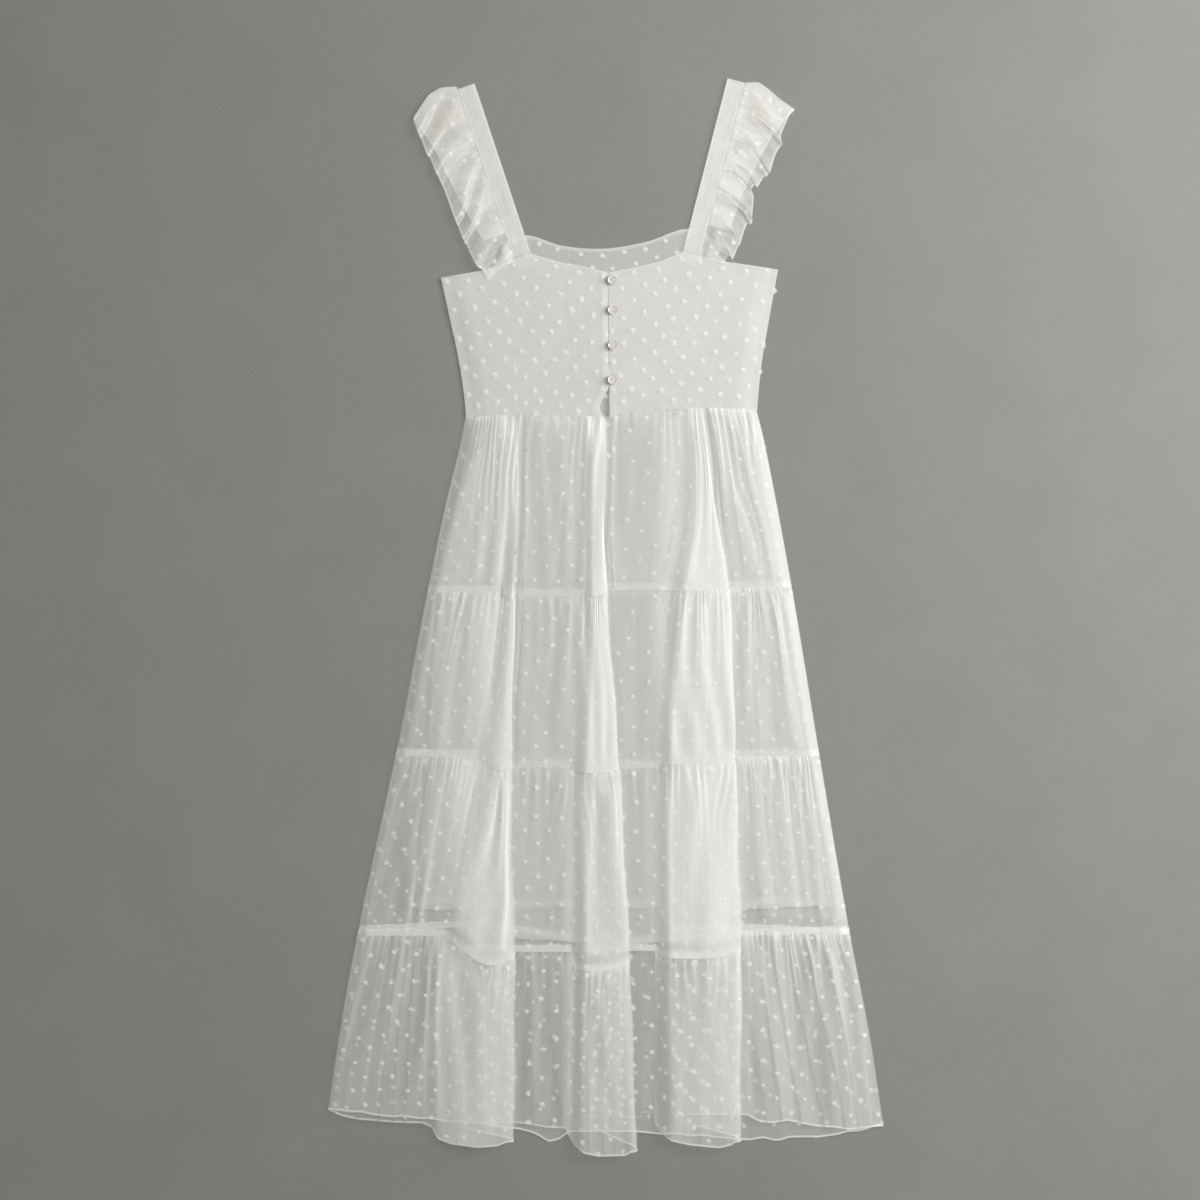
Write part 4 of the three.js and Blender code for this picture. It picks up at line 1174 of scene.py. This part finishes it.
def strap_band(side):
    front, back = STRAPS[side]["front"], STRAPS[side]["back"]
    run = run_over(front + STRAP_SEWN, back, 5, (42, 12, 34))
    across = np.linspace(0, STRAP_WIDTH, 15)
    puckers = 0.35 * soft_noise(run / 4, across / 9, 500) + 0.5 * smooth((run - front + 9) / 6)
    edge = np.minimum(across, STRAP_WIDTH - across) < STRAP_HEM
    sewn_down = 1 - 0.93 * smooth((run - front + 2) / 8)
    mottled = 0.5 * soft_noise(run / 8, across / 5, 510) + 0.4 * soft_noise(run / 30, across / 24, 511)
    density = (3.1 + 1.2 * edge + mottled) * sewn_down
    points = folded_place(side, run, across, puckers)
    cloth_piece(f"strap_{side}_cloth", points, across, -run, density, f"strap_{side}")
    print(f"{side} strap: {front + STRAP_SEWN + back:.0f} mm long")


for side in ("right", "left"):
    strap_band(side)

# %% Shape of a ruffle
RUFFLE_SHARES = np.linspace(0, 1, 21)
RUFFLE_FOLDS = {
    "right": {"pitch": 41.0, "slant": 0.45, "seed": 600},
    "left": {"pitch": 36.0, "slant": 0.47, "seed": 640},
}
RUFFLE_REACH, RUFFLE_GAP, RUFFLE_FLAT = 7, 0.3, 60
RUFFLE_RISE, BACK_RISE = 1.8, 0.4
TIP_RISE, TIP_FROM = 2.7, 165
SHOULDER_CURVE = {
    "right": ([0, 0.31, 0.56, 0.8, 1], [-3, -9.2, -9, -2.6, 2.7]),
    "left": ([0, 0.23, 0.46, 0.69, 1], [0, -5.6, -2.5, 1.3, 1]),
}


def ruffle_size(side, column, run):
    """A column of a ruffle's tables at some distance from the shoulder, in front or behind."""
    front, back = (read_table(RUFFLES[side][face], "s", column, np.abs(run)) for face in ("front", "back"))
    return np.where(run >= 0, front, back)


def ruffle(side):
    pitch, slant, seed = (RUFFLE_FOLDS[side][key] for key in ("pitch", "slant", "seed"))
    share, tables = RUFFLE_SHARES, RUFFLES[side]
    front, back = tables["front"]["s"][-1] + RUFFLE_REACH, tables["back"]["s"][-1]
    run = run_over(front, back, 2, (210, 7, 80))
    on_front, distance = run >= 0, np.abs(run)
    width = ruffle_size(side, "width", run) - RUFFLE_GAP
    drop = ruffle_size(side, "drop", run) * share ** 2
    drop = drop + np.interp(share, *SHOULDER_CURVE[side]) * np.exp(-(distance / 26) ** 2)
    # Slanting folds: a wave with a sharp side, uneven in length and in strength.
    line = run - slant * width * share
    uneven = pitch * 0.55 * soft_noise(line / (1.3 * pitch), share * 1.2, seed)
    turn = 2 * math.pi * (line + uneven) / pitch
    strength = 0.75 + 0.45 * soft_noise(line / (0.8 * pitch), share * 1.7, seed + 2)
    wave = np.sin(turn + 0.6 * np.sin(turn)) * strength + 0.22 * np.sin(2.3 * turn + 1.7) * share
    fine = soft_noise(run / 3.2 + 2 * share, share * 1.5, seed + 1) * np.exp(-share * 1.8)
    # The folds are quiet at both ends and at the shoulder, and flatter behind.
    ends = smooth((front - run) / 18) * smooth((back + run) / 18)
    quiet = np.where(on_front, 1, 0.25) * smooth(distance / 14)
    push = ends * quiet * (1.15 * pitch / (2 * math.pi) * wave * (0.4 + 0.6 * share) + 1.4 * fine)
    tip = np.where(on_front, TIP_RISE * smooth((distance - TIP_FROM) / 25), 0) * smooth(share * 4)
    lift = ends * quiet * (1.3 + wave) * RUFFLE_RISE * (0.35 + 0.65 * share) + 0.5 * fine * quiet + tip
    lift = np.where(on_front, lift, BACK_RISE * lift)
    out = STRAP_WIDTH + RUFFLE_GAP + width * share
    points = folded_place(side, run, out, lift, drop + push * np.sign(run + 0.01))
    density = ruffle_threads(points, run, line, wave, seed)
    from_shoulder, from_middle = distance - 30 - 14 * (share - 0.4), share - 0.4
    warm = 0.75 * np.exp(-(from_shoulder / 14) ** 2 - (from_middle / 0.26) ** 2) * on_front
    across = share * RUFFLE_FLAT
    cloth_piece(f"ruffle_{side}_cloth", points, across, -run, density, f"ruffle_{side}", warm)
    print(f"{side} ruffle: {float(width.max()):.0f} mm wide at most")


def ruffle_threads(points, run, line, wave, seed):
    """How crowded a ruffle's threads are: most on its ridges, at its hem and near the strap."""
    share = RUFFLE_SHARES
    steps = np.linalg.norm(np.diff(points, axis=0), axis=2)
    mean_step = steps.mean(axis=1, keepdims=True)
    crowd = np.clip(1.25 * mean_step / np.maximum(steps, 0.1), 0.9, 1.22)
    crowd = np.concatenate([crowd[:1], crowd], axis=0)
    streaks = 1 + 0.22 * soft_noise(line / 3, share * 3, seed + 5)
    streaks = streaks + 0.15 * soft_noise(run / 2.4, share * 7, seed + 6)
    ridge = 0.82 + 0.36 * smooth((wave + 0.7) / 1.3)
    return 2.65 * crowd * streaks * ridge + 0.8 * np.exp(-share * 9) + 3.5 * (share > 0.97)


for side in ("right", "left"):
    ruffle(side)

# %% [markdown]
# ## Seams
#
# On the real dress the raw edges of two tiers are sewn together and pressed up, so a strip
# with two more layers shows through above each seam. It is a separate narrow sheet here, just
# under the tier above, with the ripples of the gathered tier along its free edge.

# %% Seam allowances
ALLOWANCE, ALLOWANCE_ROWS, ALLOWANCE_THICKNESS = 8.0, 5, 0.5
ALLOWANCE_GAP = 0.6
SEAM_CROWD = {1: 1.5, 2: 1.9, 3: 3.8}


def seam_allowance(name, tier_name, inward, seed, threads):
    points, across, drop = (cloths[tier_name][key] for key in ("points", "across", "drop"))
    heights = np.linspace(1, 0, ALLOWANCE_ROWS)[:, None]
    free_edge = ALLOWANCE + 1.0 * soft_noise(across / 3, 0, seed)
    wanted = drop[-1] - heights * free_edge
    strip = np.zeros((ALLOWANCE_ROWS, points.shape[1], 3))
    for c in range(points.shape[1]):
        for axis in range(3):
            strip[:, c, axis] = np.interp(wanted[:, c], drop[:, c], points[:, c, axis])
    ripple = soft_noise(across / 2.6, heights, seed + 1) * heights
    strip[..., 2] += inward * ALLOWANCE_GAP + 0.45 * ripple
    strip[..., 0] += 1.2 * ripple
    density = threads + 1.2 * ripple
    cloth_piece(name, strip, across, -heights * ALLOWANCE, density, thickness=ALLOWANCE_THICKNESS)


direction = np.diff(cloths["front_tier_2"]["points"][-1, :, 0])
INWARD_FRONT = np.where(np.concatenate([direction, direction[-1:]]) > 0, -1.0, 1.0)
SEAM_SEEN = np.where(KIND == "tuck", 1 - 0.7 * smooth(STATION_SHARE * 3), 1 - 0.92 * ON_SOFT_SIDE)
for tier, threads in SEAM_CROWD.items():
    seen = threads * SEAM_SEEN
    seam_allowance(f"seam_front_{tier}", f"front_tier_{tier}", INWARD_FRONT, 700 + tier, seen)
    seam_allowance(f"seam_back_{tier}", f"back_tier_{tier}", 1.0, 720 + tier, threads)
print("sheets of cloth:", len(cloths))

# %% [markdown]
# ## Tufts
#
# The cloth is a clip-spot voile: extra yarns are woven in at each spot and clipped off
# between, which leaves a small tuft. Thousands are needed, so each one is only two low balls
# of a few faces, squashed and turned at random. They sit on a staggered lattice in the flat
# cloth, and so they crowd together where the cloth is gathered.

# %% One tuft
TUFT_BALLS = [
    {"place": (-0.4, 0.3), "wide": 2.9, "tall": 2.6},
    {"place": (0.5, -0.3), "wide": 2.7, "tall": 2.8},
]
BALL_CORE = [1.0] + [0.12] * 10 + [1.0]
TUFT_STAND = 0.4
SEAM_MARGIN = 2
rng = np.random.default_rng(20)


def sheet_point(points, r, c):
    """The place and the normal of a sheet between its rows and columns."""
    rows, columns = points.shape[:2]
    r0, c0 = min(int(r), rows - 2), min(int(c), columns - 2)
    fr, fc = r - r0, c - c0
    a, b = points[r0, c0], points[r0, c0 + 1]
    d, e = points[r0 + 1, c0], points[r0 + 1, c0 + 1]
    place = (a * (1 - fc) + b * fc) * (1 - fr) + (d * (1 - fc) + e * fc) * fr
    normal = np.cross(e + b - a - d, a + b - d - e)
    normal = normal / max(np.linalg.norm(normal), 1e-9)
    normal = normal + np.array([0, 0, 0.8 if normal[2] > 0 else -0.8])
    return place, normal / np.linalg.norm(normal)


def tuft_place(sheet, u, v):
    """Where a spot of the flat cloth went: its place and normal, or None if no tuft shows.
    Gathers that squeeze the cloth to less than half hide the tufts in them."""
    points, across, drop = sheet
    if u > across.max():
        return None
    c = np.interp(u, across, np.arange(len(across)))
    c0 = min(int(c), len(across) - 2)
    row = int(np.argmin(np.abs(drop[:, c0] - v)))
    step = np.linalg.norm(points[row, c0 + 1] - points[row, c0])
    down = drop[:, int(round(c))]
    if step < 0.5 * (across[c0 + 1] - across[c0]) or not SEAM_MARGIN <= v <= down[-1] - SEAM_MARGIN:
        return None
    return sheet_point(points, np.interp(v, down, np.arange(len(down))), c)


print("balls in a tuft:", len(TUFT_BALLS))

# %% Tufts on every sheet
tuft_counts = []


def tufts(name, sheet, spacing=(24.0, 16.5), full=0.5, side=1.0, height=0.26, wider=1.16):
    """One mesh with every tuft of a sheet, which gives its points and its flat cloth."""
    bm, count = bmesh.new(), 0
    places, lines = (int(sheet[k + 1].max() / spacing[k]) + 1 for k in (0, 1))
    for j, i in ((j, i) for j in range(lines) for i in range(places)):
        v = (j + 0.4) * spacing[1] + rng.normal(0, 1.4)
        u = (i + 0.5 * (j % 2) + 0.2) * spacing[0] + rng.normal(0, 1.4)
        size, turn, puff = rng.uniform(0.85, 1.15), rng.normal(0, 0.35), rng.uniform(0.8, 1.2)
        found = tuft_place(sheet, u, v)
        if found is None:
            continue
        place, normal = found
        upright = Vector((0, 0, 1)).rotation_difference(Vector(normal)).to_matrix().to_4x4()
        tuft = Matrix.Translation(Vector((place + side * TUFT_STAND * normal) * MM)) @ upright
        tuft = tuft @ Matrix.Rotation(turn, 4, "Z")
        tuft = tuft @ Matrix.Diagonal((size * wider * MM, size * wider * MM, puff * MM, 1))
        for ball in TUFT_BALLS:
            x, y = ball["place"]
            shape = tuft @ Matrix.Translation((x, y + rng.normal(0, 0.4), 0))
            shape = shape @ Matrix.Diagonal((ball["wide"], ball["tall"], height, 1))
            bmesh.ops.create_icosphere(bm, subdivisions=1, radius=1, matrix=shape)
        count += 1
    for vert in bm.verts:
        vert.co.x += rng.normal(0, 0.35) * MM
        vert.co.y += rng.normal(0, 0.35) * MM
    mesh = bpy.data.meshes.new(name)
    bm.to_mesh(mesh)
    bm.free()
    paint(mesh, "core", np.tile(BALL_CORE, len(mesh.vertices) // len(BALL_CORE)))
    paint(mesh, "crowd", np.full(len(mesh.vertices), full))
    link_piece(name, mesh, TUFT, "voile")
    tuft_counts.append(count)


def sheet_of(name, row=None):
    """Points, distances across and distances down. Where the columns of a sheet fan out,
    the distances across are measured along one row of it."""
    sheet = cloths[name]
    x = sheet["points"][row or 0, :, 0]
    return sheet["points"], sheet["across"] if row is None else x - x.min(), sheet["drop"]


FRONT_TUFTS = {1: 0.3, 2: 0.32, 3: 0.36, 4: 0.48}
RUFFLE_TUFT_WIDTH = 55
for tier, full in FRONT_TUFTS.items():
    apart = (38.0, 16.0) if tier == 4 else (31.0, 17.0)
    tufts(f"tufts_front_{tier}", sheet_of(f"front_tier_{tier}"), apart, full)
    tufts(f"tufts_back_{tier}", sheet_of(f"back_tier_{tier}"), (42.0, 18.0), 0.26, -1.0)
for side in ("right", "left"):
    tufts(f"tufts_bodice_{side}", sheet_of(f"bodice_front_{side}_cloth", 40), height=0.8, wider=1.36)
tufts("tufts_bodice_back", sheet_of("bodice_back_cloth", 20), full=0.6)
for side in ("right", "left"):
    points, _, drop = sheet_of(f"ruffle_{side}_cloth")
    down = np.broadcast_to(drop - drop[0], points.shape[:2])
    tufts(f"tufts_ruffle_{side}", (points, RUFFLE_SHARES * RUFFLE_TUFT_WIDTH, down), (26.0, 24.0))
print("tufts:", sum(tuft_counts))

# %% [markdown]
# ## Buttons
#
# The four buttons and their loops are kept from the packed part, because their shapes are
# already right. They only get their finishes.

# %% Buttons and loops
for number in (1, 2, 3, 4):
    for node_name, material in ((f"button_{number}", SHELL), (f"button_loop_{number}", THREAD)):
        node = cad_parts[node_name]
        node.data.materials.clear()
        node.data.materials.append(material)
print("buttons and loops with a finish:", 2 * number)

# %% [markdown]
